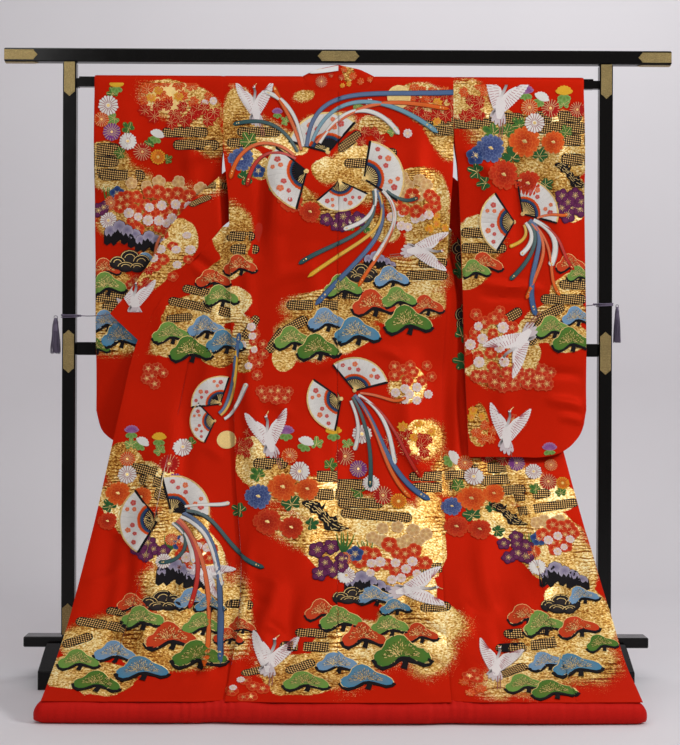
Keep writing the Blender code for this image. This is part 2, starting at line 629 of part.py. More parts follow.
def stand(part):
    flat_to_front = (math.radians(90), 0.0, 0.0)
    upright = (math.radians(90), math.radians(-90), 0.0)
    lacquer = ("lacquer", LACQUER)
    y = STAND_Y
    for name, size, at in (
        ("top_rail", (RAIL["length"], RAIL["depth"], RAIL["top"] - RAIL["bottom"]),
         (0, y, (RAIL["top"] + RAIL["bottom"]) / 2)),
        ("middle_rail", (2 * POST["centre"] - POST["width"] - 0.0006, MIDDLE["depth"], MIDDLE["top"] - MIDDLE["bottom"]),
         (0, y, (MIDDLE["top"] + MIDDLE["bottom"]) / 2)),
        ("bottom_beam", (BEAM["length"], BEAM["depth"], BEAM["top"] - BEAM["bottom"]),
         (0, y, (BEAM["top"] + BEAM["bottom"]) / 2)),
    ):
        part.box(name, size, at, *lacquer, bevel=0.0025)
    hanging_rod(part)
    foot = FOOT
    notch = BEAM["depth"] / 2 + 0.0003
    profile = [
        (-foot["reach"], 0.0), (foot["reach"], 0.0), (foot["reach"], foot["toe"]), (foot["flat"], foot["top"]),
        (notch, foot["top"]), (notch, BEAM["bottom"] - 0.0003), (-notch, BEAM["bottom"] - 0.0003),
        (-notch, foot["top"]), (-foot["flat"], foot["top"]), (-foot["reach"], foot["toe"]),
    ]
    for side, sign in SIDE.items():
        bottom, top = BEAM["top"] + 0.0003, RAIL["bottom"] - 0.0003
        part.box(f"post_{side}", (POST["width"], POST["depth"], top - bottom),
                 (sign * POST["centre"], y, (top + bottom) / 2), *lacquer, bevel=0.003)
        part.outline(f"foot_{side}", profile, foot["width"], (sign * foot["centre"], y, 0.0),
                     (math.radians(90), 0.0, math.radians(90)), *lacquer, bevel=0.002)
        front = y - POST["depth"] / 2 - 0.0003 - PLATE / 2
        x = sign * POST["centre"]
        for name, low, high, tips in (("top", 1.5750, 1.6680, "low"), ("middle", 0.8260, 0.9430, "low high"),
                                      ("bottom", 0.1180, 0.2030, "high")):
            part.outline(f"plate_{name}_{side}", pointed(high - low, 0.0290, tips), PLATE,
                         (x, front, (low + high) / 2), upright, "gilt", GILT)
        rail_front = y - RAIL["depth"] / 2 - 0.0003 - PLATE / 2
        tip = "low" if side == "right" else "high"
        part.outline(f"cap_front_{side}", pointed(0.0900, 0.0270, tip), PLATE,
                     (sign * (RAIL["length"] / 2 - 0.0460), rail_front, 1.6875), flat_to_front, "gilt", GILT)
        part.outline(f"cap_under_{side}", pointed(0.0900, 0.0230, tip), PLATE,
                     (sign * (RAIL["length"] / 2 - 0.0460), y, RAIL["bottom"] - 0.0003 - PLATE / 2),
                     (0.0, 0.0, 0.0), "gilt", GILT)
    part.outline("plate_centre", pointed(0.1130, 0.0270, "low high"), PLATE,
                 (0.0, y - RAIL["depth"] / 2 - 0.0003 - PLATE / 2, 1.6875), flat_to_front, "gilt", GILT)


def hanging_rod(part):
    """The rod that carries the garment: a bar with a smaller tenon at each end, turned from one outline."""
    half = ROD["length"] / 2
    reach = POST["centre"] - POST["width"] / 2 - 0.0003
    s = ROD["shift"]
    low, high = ROD["bottom"], ROD["top"]
    step = 0.0045
    points = [
        (-half + s, low), (half + s, low), (half + s, low + step * 0.2), (reach, low + step * 0.2),
        (reach, high - step), (half + s, high - step), (half + s, high), (-half + s, high),
        (-half + s, high - step), (-reach, high - step), (-reach, low - step * 0.4), (-half + s, low - step * 0.4),
    ]
    middle = (low + high) / 2
    part.outline("hanging_rod", [(x, z - middle) for x, z in points], ROD["depth"], (0.0, STAND_Y, middle),
                 (math.radians(90), 0.0, 0.0), "lacquer", LACQUER, bevel=0.0042)


# ---------------------------------------------------------------- the tie cords
CordRow = namedtuple("CordRow", "side wrap_z end_x end_y end_z tassel_width")
CORDS = [
    CordRow("left", 0.9810, 0.6120, -0.0535, 0.9830, 0.0300),
    CordRow("right", 1.0170, 0.6215, 0.0035, 1.0120, 0.0230),
]


def cords(part):
    purple = ("cord", CORD)
    for c in CORDS:
        sign = SIDE[c.side]
        x, y = sign * POST["centre"], STAND_Y
        out_x, out_y = POST["width"] / 2 + 0.0022, POST["depth"] / 2 + 0.0022
        ring = []
        for k in range(16):                                      # a rounded square round the post
            a = 2 * math.pi * k / 16
            cx, cy = math.cos(a), math.sin(a)
            square = max(abs(cx), abs(cy))
            ring.append((x + out_x * cx / square, y + out_y * cy / square, c.wrap_z))
        part.tube(f"wrap_{c.side}", ring, 0.0034, *purple, closed=True)
        start = Vector((x - sign * (out_x + 0.0024), y - 0.006, c.wrap_z + 0.0005))
        end = Vector((sign * c.end_x, c.end_y + STAND_Y, c.end_z))
        line = [start.lerp(end, t / 8) - Vector((0, 0, 0.002 * math.sin(math.pi * t / 8))) for t in range(9)]
        part.tube(f"cord_{c.side}", line, 0.0026, *purple)
        tassel(part, c, x + sign * (out_x + 0.0020 + c.tassel_width / 2), y - 0.004)


def tassel(part, c, x, y):
    """A tassel hanging beside the post, turned from its outline."""
    r = c.tassel_width / 2
    outline = ((0.0, 0.006), (0.30 * r, 0.005), (0.42 * r, -0.004), (0.38 * r, -0.012), (0.50 * r, -0.020),
               (0.80 * r, -0.052), (r, -0.094), (0.85 * r, -0.098), (0.0, -0.098))
    bm = bmesh.new()
    verts = [bm.verts.new((px, 0.0, pz)) for px, pz in outline]
    for a, b in zip(verts, verts[1:]):
        bm.edges.new((a, b))
    mesh = bpy.data.meshes.new(f"tassel_{c.side}")
    bm.to_mesh(mesh)
    bm.free()
    obj = part.add(f"tassel_{c.side}", mesh, "cord", CORD, (x, y, c.wrap_z - 0.006))
    turn = obj.modifiers.new("turn", "SCREW")
    turn.steps = turn.render_steps = 14
    turn.use_merge_vertices = True
    turn.merge_threshold = 0.00005
    turn.use_smooth_shade = True
    turn.use_normal_calculate = True


def main():
    for obj in list(bpy.data.objects):
        bpy.data.objects.remove(obj, do_unlink=True)
    part = Part("uchikake_on_stand")
    stand(part)
    for side in SIDE:
        part.sheet(f"back_{side}", *back_surface(side))
        part.sheet(f"front_{side}", *front_surface(side))
        part.sheet(f"okumi_{side}", *okumi_surface(side))
        part.sheet(f"collar_{side}", *collar_surface(side))
        for wall in ("back", "front"):
            part.sheet(f"sleeve_{side}_{wall}", *sleeve_surface(side, wall))
    part.sheet("collar_lining", *lining_surface(), "white silk", WHITE_SILK, 0.0012)
    hem_roll(part)
    cords(part)


main()
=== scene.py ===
"""Looks of an uchikake wedding kimono hung over the rod of a black lacquered kimono stand.

The garment's back faces -Y. Every cloth piece is a thin shell on the form of its solid, with its creases laid in
one by one, and the woven and embroidered picture is a set of raised motifs draped on those shells. Metres, +Z up.
"""

import logging
import math
from dataclasses import dataclass, field
from enum import Enum
from typing import Callable, Iterable, NamedTuple, Optional, Sequence

import bmesh
import bpy
import numpy as np
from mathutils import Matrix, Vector
from mathutils.bvhtree import BVHTree


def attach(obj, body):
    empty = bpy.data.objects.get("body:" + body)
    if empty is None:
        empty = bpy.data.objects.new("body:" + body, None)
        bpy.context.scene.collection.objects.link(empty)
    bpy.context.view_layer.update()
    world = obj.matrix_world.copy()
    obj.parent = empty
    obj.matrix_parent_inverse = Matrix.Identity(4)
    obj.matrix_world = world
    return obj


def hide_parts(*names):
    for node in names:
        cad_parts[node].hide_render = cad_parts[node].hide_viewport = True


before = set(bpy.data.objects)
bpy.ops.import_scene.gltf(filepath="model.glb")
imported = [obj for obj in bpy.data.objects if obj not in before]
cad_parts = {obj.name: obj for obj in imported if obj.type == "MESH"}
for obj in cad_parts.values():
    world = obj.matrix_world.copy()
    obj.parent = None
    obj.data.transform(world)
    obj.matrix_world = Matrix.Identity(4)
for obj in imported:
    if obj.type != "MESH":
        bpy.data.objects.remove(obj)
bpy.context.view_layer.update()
LOG = logging.getLogger("uchikake")
Material, Piece = bpy.types.Material, bpy.types.Object
Triple = tuple[float, float, float]
Points, Faces, FaceList = Sequence[Sequence[float]], Sequence[Sequence[int]], list[tuple[int, ...]]

# ---------------------------------------------------------------- sizes shared with the solids (metres)
STAND_Y = 0.2055
CLOTH = 0.0024
SEAM = 0.0005
SHOULDER = 1.6335
TURN = ((0.0004, 1.6335), (0.0090, 1.6328), (0.0138, 1.6290), (0.0160, 1.6190))
DROP = 0.0168
BODY_HALF = 0.3115
NECK_HALF = 0.1000
SHOULDER_END = 1.600               # where the shoulder's turn over the rod ends
HEM = 0.0535
HEM_LAP = 0.0160
ROLL_HEIGHT, ROLL_DEPTH = 0.0530, 0.0560
POST_X, POST_WIDTH, POST_DEPTH = 0.7274, 0.0360, 0.0340
TUCK_GAP = 0.0075
TUCK_ROUND = 0.0030                # how far a tuck's rounded fold reaches
BEHIND_EDGE = 0.0020               # how far behind the back's edge a front starts
DRAWN_IN = 0.0140                  # how far the back's side edges are drawn towards the stand
ROLL_REACH = 0.2100                # the height from which a panel comes forward onto the padded roll
NECK_STEP = 0.0015                 # what keeps the neckline's rows apart
FOLD_REACH = 0.0040                # how far a turned front's fold reaches
LAP_LOW, LAP_HIGH = 0.0075, 0.0045           # from the back to the tuck's first layer, low down and above
GAP_LOW = 0.0100                   # between the tuck's layers low down; above it is TUCK_GAP
WRIST = 1.350                      # the cuff is open above this height


class Side(Enum):
    """The two sides of the garment, with the sign of their X."""

    LEFT = -1.0
    RIGHT = 1.0

    @property
    def word(self) -> str:
        """The side's name in the solids' node names."""
        return self.name.lower()


class BackRow(NamedTuple):
    """The back body at a height: its side edges and how far it swings out."""

    z: float
    left: float
    right: float
    swing: float


class FrontRow(NamedTuple):
    """A front at a height: its tuck, its okumi seam and its front edge."""

    z: float
    tuck: float
    seam: float
    seam_swing: float
    edge: float
    edge_swing: float


class TurnRow(NamedTuple):
    """A front above that, where it turns to lie face out."""

    side_x: float
    side_y: float
    side_z: float
    fold_x: float
    fold_y: float
    fold_z: float
    seam_x: float
    seam_y: float
    seam_z: float


class NeckRow(NamedTuple):
    """The neckline and the collar's free edge beside it."""

    x: float
    cut: float
    free_x: float
    free_y: float
    free_z: float


class FreeRow(NamedTuple):
    """A point of the collar's free edge."""

    x: float
    y: float
    z: float


class SleeveRow(NamedTuple):
    """A sleeve at a height: its walls' distances from the rod's plane and its edges."""

    z: float
    before: float
    behind: float
    inner: float
    outer: float


class RollRow(NamedTuple):
    """The padded hem: how far out it lies and how full it is."""

    x: float
    swing: float
    size: float


class FoldRow(NamedTuple):
    """A large soft fold of the back."""

    x_top: float
    x_low: float
    width: float
    rise: float
    z_top: float
    z_low: float


def millimetres(kind: type, *rows: Sequence) -> tuple:
    """Rows of a table whose lengths are written in millimetres."""
    return tuple(kind(*(v if isinstance(v, tuple) else v / 1000.0 for v in row)) for row in rows)


# The garment's tables. The lowest row of the back and of each front is at the hem.
BACK = millimetres(BackRow,
    (1620, 311.5, 311.5, 16.8), (1450, 311.5, 311.5, 20), (1375, 303, 309.5, 36.5), (1295, 294, 303.5, 43),
    (1150, 289.5, 295, 49), (985, 286, 289, 65), (850, 279, 280, 87), (757, 275.5, 276, 111), (650, 271, 274, 144),
    (550, 265, 273, 182), (420, 252, 269, 242), (308, 242, 265, 315), (200, 244, 267, 398), (120, 257, 267, 468),
    (80, 262, 267.5, 527), (53.5, 266, 268, 572))

# The fronts below the armhole: depth of the tuck behind the back's edge, where the okumi seam and the front edge
# stand from the centre, and how far each swings out. Left hangs before its sleeve and right behind its own.
FRONT_LEFT = millimetres(FrontRow,
    (1222, 97, 296, 27, 311, 29), (1180, 98, 304, 33, 346, 35), (1080, 98, 335, 41, 432, 42),
    (985, 96, 364, 49, 498, 48), (900, 86, 389, 58, 541, 52), (757, 64, 418, 88, 573, 72),
    (604, 45, 445, 148, 601, 123), (450, 26, 471, 215, 627, 187), (308, 12, 498, 298, 652, 275),
    (200, 10, 522, 382, 670, 360), (120, 10, 540, 453, 687, 440), (80, 10, 548, 515, 694, 505),
    (53.5, 10, 553, 562, 699, 556))
FRONT_RIGHT = millimetres(FrontRow,
    (1222, 97, 298, -29, 311, -31), (1180, 98, 306, -25, 346, -27), (1080, 98, 335, -10, 432, -11),
    (985, 96, 364, 4, 498, 3), (900, 86, 389, 17.5, 541, 16.5), (757, 64, 418, 33, 575, 31),
    (604, 45, 445, 84, 609, 76), (450, 26, 478, 169, 641, 155), (308, 14, 515, 276, 668, 262),
    (200, 12, 533, 368, 690, 356), (120, 10, 550, 448, 703, 438), (80, 10, 560, 513, 714, 505),
    (53.5, 10, 564, 562, 720, 556))

# The fronts above that, where each turns from the shoulder to lie face out: the side edge, the tuck's fold and the
# collar seam, each as distance from the centre, distance behind the rod and height.
TURN_ROWS = millimetres(TurnRow,
    (311.5, 16.8, 1600, 206, 16.8, 1600, 101, 16.8, 1600), (311.5, 17.5, 1545, 207, 19, 1548, 108, 25, 1555),
    (311, 18, 1490, 207, 21, 1495, 130, 43, 1505), (308, 14, 1440, 205, 18, 1445, 162, 58, 1452),
    (301, -3, 1390, 202, 6, 1393, 200, 62, 1400), (296, -22, 1340, 198.5, -10, 1342, 238, 53, 1347),
    (293, -34.5, 1290, 196.5, -23, 1292, 268, 33, 1293), (290.5, -40, 1247, 195, -31, 1248, 286, 4, 1248))
TURN_RIGHT_LAST = millimetres(TurnRow, (300.5, -40, 1247, 204, -30, 1248, 289, 31, 1248))

# The neckline, as distance from the centre and length of cloth cut away from the shoulder fold, and the collar's
# free edge beside it.
NECKLINE = millimetres(NeckRow,
    (0, 54, 0.3, -10, 1664), (45, 50, 37, -10.5, 1656), (78, 38, 62, -11, 1650), (92, 24, 70, -10, 1646.5),
    (97, 13, 74, -7, 1645.5), (99.5, 6, 75.5, -1, 1645.5), (100.5, 0, 76.5, 5, 1646))

# The collar past the shoulder, its free edge beside each row of the front's collar seam, then beside the okumi.
COLLAR_TURN = millimetres(FreeRow,
    (77.5, 12, 1644), (77, 19, 1638), (76, 24, 1624), (72, 29, 1600), (76, 45, 1562), (99, 70, 1530), (143, 84, 1500),
    (196, 82, 1470), (245, 64, 1432), (282, 38, 1398))
COLLAR_ROWS = 6           # how many rows of the okumi the collar is sewn beside
COLLAR_LEFT = millimetres(FreeRow,
    (307, -12, 1372), (330, -29, 1349), (380, -32, 1305), (450, -35, 1223), (508, -40, 1121), (568, -45, 1037),
    (611, -48, 985))
COLLAR_RIGHT = millimetres(FreeRow,
    (306, 35, 1375), (330, 33, 1354), (382, 29, 1308), (450, 23, 1230), (510, 14, 1135), (574, 3, 1058),
    (619, -3, 1010))

# The sleeves: how far the wall before the rod and the wall behind it hang out from the rod's middle (forwards
# positive), and where the inner and the outer edge stand from the centre.
SLEEVE_LEFT = millimetres(SleeveRow,
    (1600, 16.8, -16.8, 312, 659), (1450, 19, -18, 312.3, 660.5), (1400, 14, -14, 316.5, 660.5),
    (1300, 10, -11, 318, 660), (1200, 11, -7, 319, 658.5), (1100, 16, 1, 320, 656), (1000, 27, 11, 321, 654.5),
    (920, 31.2, 16.3, 322, 652.5), (800, 31.8, 17.2, 323, 650), (700, 32.8, 22.4, 324, 650),
    (634, 33.5, 30.5, 325, 650))
SLEEVE_RIGHT = millimetres(SleeveRow,
    (1600, 16.8, -16.8, 312, 665), (1450, 19, -18, 317, 669), (1400, 16, -13, 324, 669.5), (1300, 15, -9, 330, 670.5),
    (1200, 19, -3, 334.5, 671), (1100, 27, 7, 337.5, 671.5), (1000, 37, 18, 340, 672), (920, 44, 27, 341.5, 672),
    (800, 58, 43, 345, 669), (700, 77, 66, 348, 667), (607, 101, 98, 350, 666))
SLEEVE_CORNER = {Side.LEFT: 0.0900, Side.RIGHT: 0.1250}      # radius of the rounded outer bottom corner
SLEEVE_BOTTOM = {Side.LEFT: 0.6340, Side.RIGHT: 0.6070}

# The padded roll along the hem: how far its middle stands from the stand, with the small gathers at the side seams.
ROLL_ROWS = tuple(RollRow(x / 1000.0, swing / 1000.0, size) for x, swing, size in (
    (-720, 543, 0.3), (-712, 544, 0.72), (-695, 545, 0.96), (-600, 548, 1.0), (-440, 550, 0.99), (-340, 548, 0.97),
    (-290, 545, 0.93), (-230, 549, 0.97), (-100, 556, 1.0), (50, 558, 1.0), (200, 556, 0.99), (270, 550, 0.94),
    (320, 552, 0.95), (420, 554, 1.0), (600, 550, 1.0), (708, 546, 0.96), (726, 545, 0.72), (734, 544, 0.3)))

# The largest folds of the back: centre line, half width, height above the cloth, and the stretch it runs over.
BACK_FOLDS = millimetres(FoldRow,
    (-175, -195, 55, 6, 1500, 900), (-120, -60, 80, 8, 700, 120), (100, 150, 70, 7, 950, 250),
    (215, 225, 45, -5, 1300, 700))
FRONT_ROWS = (1.222, 1.180, 1.120, 1.050, 0.985, 0.915, 0.840, 0.757, 0.660, 0.560, 0.450,
              0.350, 0.265, 0.200, 0.155, 0.110, 0.080, HEM)
BACK_ROWS = (1.600, 1.550, 1.500, 1.450, 1.400, 1.350, 1.295, 1.240) + FRONT_ROWS[1:]
SLEEVE_DOWN = (1.600, 1.540, 1.490, 1.450, 1.400, 1.350, 1.290, 1.190, 1.080, 0.970, 0.870, 0.770, 0.690)
SLEEVE_ACROSS = (0.0, 0.20, 0.42, 0.62, 0.78, 0.89, 0.96, 1.0)
ROD_LENGTHS = (0.0, 0.0086, 0.0147, 0.0250, 0.0440)      # the rows round the rod, as lengths down from the fold

# ---------------------------------------------------------------- curves and grids
def curve(knots: Sequence[float], values: Sequence[float]) -> Callable[[float], float]:
    """Makes a smooth function through a table's rows that never overshoots them.

    Args:
        knots: the key column, running either way.
        values: the column that follows it.

    Returns:
        The function of the key.
    """
    k, v = np.array(knots, float), np.array(values, float)
    if k[0] > k[-1]:
        k, v = k[::-1], v[::-1]
    h = np.diff(k)
    d = np.diff(v) / h
    m = np.zeros(len(k))
    m[0], m[-1] = d[0], d[-1]
    for i in range(1, len(k) - 1):
        if d[i - 1] * d[i] > 0:
            w1, w2 = 2 * h[i] + h[i - 1], h[i] + 2 * h[i - 1]
            m[i] = (w1 + w2) / (w1 / d[i - 1] + w2 / d[i])

    def f(x: float) -> float:
        """The column's value at x."""
        x = min(max(x, k[0]), k[-1])
        i = min(int(np.searchsorted(k, x, side="right")) - 1, len(k) - 2)
        t = (x - k[i]) / h[i]
        return float(
            (1 + 2 * t) * (1 - t) ** 2 * v[i] + t * (1 - t) ** 2 * h[i] * m[i]
            + t * t * (3 - 2 * t) * v[i + 1] + t * t * (t - 1) * h[i] * m[i + 1]
        )

    return f


def columns(rows: Sequence[NamedTuple], key: str) -> dict[str, Callable[[float], float]]:
    """Makes one function of the key column for each other column of a table."""
    knots = [getattr(r, key) for r in rows]
    return {name: curve(knots, [getattr(r, name) for r in rows]) for name in rows[0]._fields if name != key}


def ease(x: float, low: float, high: float) -> float:
    """Rises smoothly from 0 at low to 1 at high."""
    t = min(max((x - low) / (high - low), 0.0), 1.0)
    return t * t * (3 - 2 * t)


def mix(a: float, b: float, t: float) -> float:
    """The value t of the way from a to b."""
    return a + (b - a) * t


def refine(points: np.ndarray, step: float, straight: int = 0) -> np.ndarray:
    """Adds smooth rows between the rows of a grid of points.

    Args:
        points: rows x columns x 3.
        step: the widest gap that may stay between rows.
        straight: how many of the first stretches stay straight.

    Returns:
        The finer grid, through the same rows.
    """
    chord = np.linalg.norm(np.diff(points, axis=0), axis=-1).mean(axis=1)
    slope = np.diff(points, axis=0) / chord[:, None, None]
    bend = np.empty_like(points)
    bend[0], bend[-1] = slope[0], slope[-1]
    share = (chord[1:] / (chord[:-1] + chord[1:]))[:, None, None]
    bend[1:-1] = share * slope[:-1] + (1 - share) * slope[1:]
    rows = []
    for i, c in enumerate(chord):
        parts = max(1, math.ceil(c / step))
        for t in np.arange(parts) / parts:
            if i < straight:
                rows.append(points[i] + (points[i + 1] - points[i]) * t)
                continue
            rows.append(
                (1 + 2 * t) * (1 - t) ** 2 * points[i] + t * (1 - t) ** 2 * c * bend[i]
                + t * t * (3 - 2 * t) * points[i + 1] + t * t * (t - 1) * c * bend[i + 1]
            )
    rows.append(points[-1])
    return np.array(rows)


def normals_of(grid: np.ndarray) -> np.ndarray:
    """Unit normals at a grid's points, on the side where rows run down and columns run across."""
    down = np.gradient(grid, axis=0)
    across = np.gradient(grid, axis=1)
    n = np.cross(down, across)
    return n / np.maximum(np.linalg.norm(n, axis=-1, keepdims=True), 1e-12)


def along(line: np.ndarray) -> np.ndarray:
    """The length run along a line, at each of its points."""
    return np.concatenate([[0.0], np.cumsum(np.linalg.norm(np.diff(line, axis=0), axis=1))])


def mean_run(grid: np.ndarray) -> np.ndarray:
    """The mean length run down a grid, at each of its rows."""
    return np.concatenate([[0.0], np.cumsum(np.linalg.norm(np.diff(grid, axis=0), axis=-1).mean(axis=1))])


def quads_of(grid: np.ndarray) -> tuple[np.ndarray, np.ndarray]:
    """The numbers of a grid's points, and the four corners of each of its faces."""
    rows, cols = grid.shape[:2]
    number = np.arange(rows * cols).reshape(rows, cols)
    corners = (number[:-1, :-1], number[1:, :-1], number[1:, 1:], number[:-1, 1:])
    return number, np.stack(corners, axis=-1).reshape(-1, 4)


def ring_faces(rings: int, around: int, closed: bool = False) -> FaceList:
    """The faces between rings of points, from the last back to the first where they are closed."""
    return [(i * around + k, i * around + (k + 1) % around, (i + 1) % rings * around + (k + 1) % around,
             (i + 1) % rings * around + k) for i in range(rings if closed else rings - 1) for k in range(around)]


# ---------------------------------------------------------------- the drape, piece by piece
class Drape:
    """The form of every cloth piece, as grids of points on the middle of its wall."""

    def __init__(self) -> None:
        """Reads the tables into functions."""
        self.back_at = columns(BACK, "z")
        self.tables = {Side.LEFT: FRONT_LEFT, Side.RIGHT: FRONT_RIGHT}
        self.front_at = {side: columns(table, "z") for side, table in self.tables.items()}
        self.sleeve_at = {Side.LEFT: columns(SLEEVE_LEFT, "z"), Side.RIGHT: columns(SLEEVE_RIGHT, "z")}
        self.roll_at = columns(ROLL_ROWS, "x")

    def folds(self, x: float, z: float) -> float:
        """How far the back's large folds stand out at a point."""
        total = 0.0
        for f in BACK_FOLDS:
            share = (f.z_top - z) / (f.z_top - f.z_low)
            if 0 < share < 1:
                middle = mix(f.x_top, f.x_low, share)
                total += f.rise * math.sin(math.pi * share) ** 0.7 * math.exp(-(((x - middle) / f.width) ** 2))
        return total

    def onto_roll(self, x: float, z: float, swing: float, hem_swing: float) -> float:
        """The swing of a panel whose lower edge is brought onto the padded roll."""
        return swing + (self.roll_at["swing"](x) + HEM_LAP - hem_swing) * ease(z, ROLL_REACH, HEM)

    def back_depth(self, x: float, z: float) -> float:
        """Distance of the back body behind the posts' plane."""
        side = "left" if x < 0 else "right"
        near_edge = ease(abs(x) / self.back_at[side](z), 0.72, 1.02)
        drawn_in = DRAWN_IN * near_edge * ease(z, 1.0, 0.8) * ease(z, 0.08, 0.25)
        swing = self.onto_roll(x, z, self.back_at["swing"](z), BACK[-1].swing)
        return -swing - self.folds(x, z) * ease(z, SHOULDER_END, 1.50) + drawn_in

    @staticmethod
    def over_rod(length: float) -> tuple[float, float]:
        """Reach and height of the cloth at a length down from the shoulder fold."""
        path = TURN + ((DROP, SHOULDER_END), (DROP + 0.0008, 1.560), (DROP + 0.0010, 1.550))
        for (r0, z0), (r1, z1) in zip(path, path[1:]):
            step = math.hypot(r1 - r0, z1 - z0)
            if length <= step:
                return mix(r0, r1, length / step), mix(z0, z1, length / step)
            length -= step
        return path[-1]

    def back(self, side: Side) -> np.ndarray:
        """The back body, from the centre seam to its side edge."""
        sign, word = side.value, side.word
        across = [r.x / BODY_HALF for r in NECKLINE] + [0.45, 0.58, 0.70, 0.80, 0.88, 0.95, 1.0]
        cuts = [r.cut for r in NECKLINE] + [0.0] * 7
        rows = []
        for i, length in enumerate(ROD_LENGTHS):
            row = []
            for u, cut in zip(across, cuts):
                reach, z = self.over_rod(max(length, cut + NECK_STEP * i))
                row.append((sign * mix(SEAM / 2, BODY_HALF, u), -reach, z))
            rows.append(row)
        for z in BACK_ROWS[1:]:
            xs = [sign * mix(SEAM / 2, self.back_at[word](z), u) for u in across]
            rows.append([(x, self.back_depth(x, z), z) for x in xs])
        return np.array(rows)

    @staticmethod
    def turned(row: TurnRow, sign: float) -> list[Vector]:
        """Points across a front where it turns over: out to the fold, round it and on to the seam."""
        a = Vector((sign * row.side_x, row.side_y, row.side_z))
        f = Vector((sign * row.fold_x, row.fold_y, row.fold_z))
        s = Vector((sign * row.seam_x, row.seam_y, row.seam_z))
        to_side, to_seam = (a - f).normalized(), (s - f).normalized()
        half = Vector((0.0, TUCK_GAP / 2, 0.0)) * (1.0 + to_side.dot(to_seam)) / 2.0
        before, after = f + to_side * FOLD_REACH - half, f + to_seam * FOLD_REACH + half
        return [a, a.lerp(before, 0.5), before, f, after] + [after.lerp(s, t) for t in (0.2, 0.4, 0.6, 0.8, 1.0)]

    def front_row(self, side: Side, z: float) -> list[Vector]:
        """Points across a front below the armhole: in behind the back's edge, round the tuck and out to the seam."""
        sign, at_z = side.value, self.front_at[side]
        edge = self.back_at[side.word](z) - BEHIND_EDGE
        inner = edge - at_z["tuck"](z)
        seam = at_z["seam"](z) - SEAM / 2
        seam_y = -self.onto_roll(sign * seam, z, at_z["seam_swing"](z), self.tables[side][-1].seam_swing)
        lap = mix(LAP_LOW, LAP_HIGH, ease(z, 0.15, 0.35))
        gap = mix(GAP_LOW, TUCK_GAP, ease(z, 0.15, 0.35))
        low = min(edge, seam - 0.030)

        def layer(x: float, behind: float) -> Vector:
            """A point of one of the tuck's layers."""
            y = self.back_depth(sign * min(x, edge), z) + lap + behind
            if x > low and behind == gap:
                straight, quick = (x - low) / (seam - low), ease(x, low, min(low + 0.055, seam - 0.002))
                fast = quick if side is Side.RIGHT and z > 0.5 else mix(straight, quick, ease(z, 0.25, 0.08))
                y = mix(y, seam_y, fast)
            return Vector((sign * x, y, z))

        start = inner + TUCK_ROUND
        outer = [start] + [mix(min(edge, seam - 0.01), seam, t) for t in (0.0, 0.1, 0.22, 0.36, 0.52, 0.68, 0.84, 1.0)]
        return [layer(edge, 0.0), layer((edge + start) / 2, 0.0), layer(start, 0.0), layer(inner, gap / 2)] + [
            layer(x, gap) for x in outer
        ]

    def front(self, side: Side) -> np.ndarray:
        """The front body, over the rod and down, in the same columns as front_row."""
        sign = side.value
        xs = (BODY_HALF, 0.260, 0.211, 0.206, 0.201, 0.188, 0.175, 0.162, 0.149, 0.136, 0.123, 0.112,
              NECK_HALF + SEAM)
        rows = [[Vector((sign * x, reach, z)) for x in xs] for reach, z in TURN]
        last = TURN_ROWS[-1:] if side is Side.LEFT else TURN_RIGHT_LAST
        for t in TURN_ROWS[:-1] + last:
            five = self.turned(t, sign)
            start, end = five[4], five[-1]
            rows.append(five[:4] + [start.lerp(end, k / 8) for k in range(9)])
        rows += [self.front_row(side, z) for z in FRONT_ROWS]
        return np.array([[tuple(p) for p in row] for row in rows])

    @staticmethod
    def seam_gap(turn: float) -> float:
        """The gap that clears two walls meeting at an angle, from the cosine between them."""
        return SEAM + CLOTH * math.sqrt((1.0 - turn) / max(1.0 + turn, 0.25))

    def okumi(self, side: Side) -> np.ndarray:
        """The okumi, from its seam to the garment's front edge."""
        sign, at_z = side.value, self.front_at[side]
        rows = []
        for z in FRONT_ROWS:
            edge = at_z["edge"](z)
            swing = self.onto_roll(sign * edge, z, at_z["edge_swing"](z), self.tables[side][-1].edge_swing)
            free = Vector((sign * edge, -swing, z))
            before, seam = self.front_row(side, z)[-2:]
            out = (free - seam).normalized()
            near = seam + out * self.seam_gap((seam - before).normalized().dot(out))
            rows.append([tuple(near.lerp(free, j / 6)) for j in range(7)])
        return np.array(rows)

    def collar(self, side: Side) -> np.ndarray:
        """The collar band, round the neck, over the rod and down beside the front and the okumi."""
        sign = side.value
        near, far = [], []
        for r in NECKLINE:
            reach, z = self.over_rod(r.cut)
            side_on = ease(r.x, 0.06, 0.10)
            near.append((sign * max(r.x - 0.0016 * side_on, 0.0003), -reach, z + 0.0016 * (1 - side_on)))
            far.append((sign * r.free_x, r.free_y, r.free_z))
        coarse = self.front(side)[1:len(TURN) + len(TURN_ROWS)]
        okumi = self.okumi(side)[:COLLAR_ROWS]
        free = COLLAR_TURN + (COLLAR_LEFT if side is Side.LEFT else COLLAR_RIGHT)
        before = [r[-2] for r in coarse] + [r[-2] for r in okumi]
        edge = [r[-1] for r in coarse] + [r[-1] for r in okumi]
        for i, f in enumerate(free):
            e, b, g = Vector(edge[i]), Vector(before[i]), Vector((sign * f.x, f.y, f.z))
            seam = Vector(edge[min(i + 1, len(edge) - 1)]) - Vector(edge[max(i - 1, 0)])
            seam.normalize()
            out, on = e - b, g - e
            out = (out - seam * out.dot(seam)).normalized()
            on = (on - seam * on.dot(seam)).normalized()
            near.append(tuple(e + on * self.seam_gap(out.dot(on))))
            far.append(tuple(g))
        a, b = np.array(near), np.array(far)
        return np.stack([a + (b - a) * t for t in (0.0, 0.2, 0.4, 0.6, 0.8, 1.0)], axis=1)

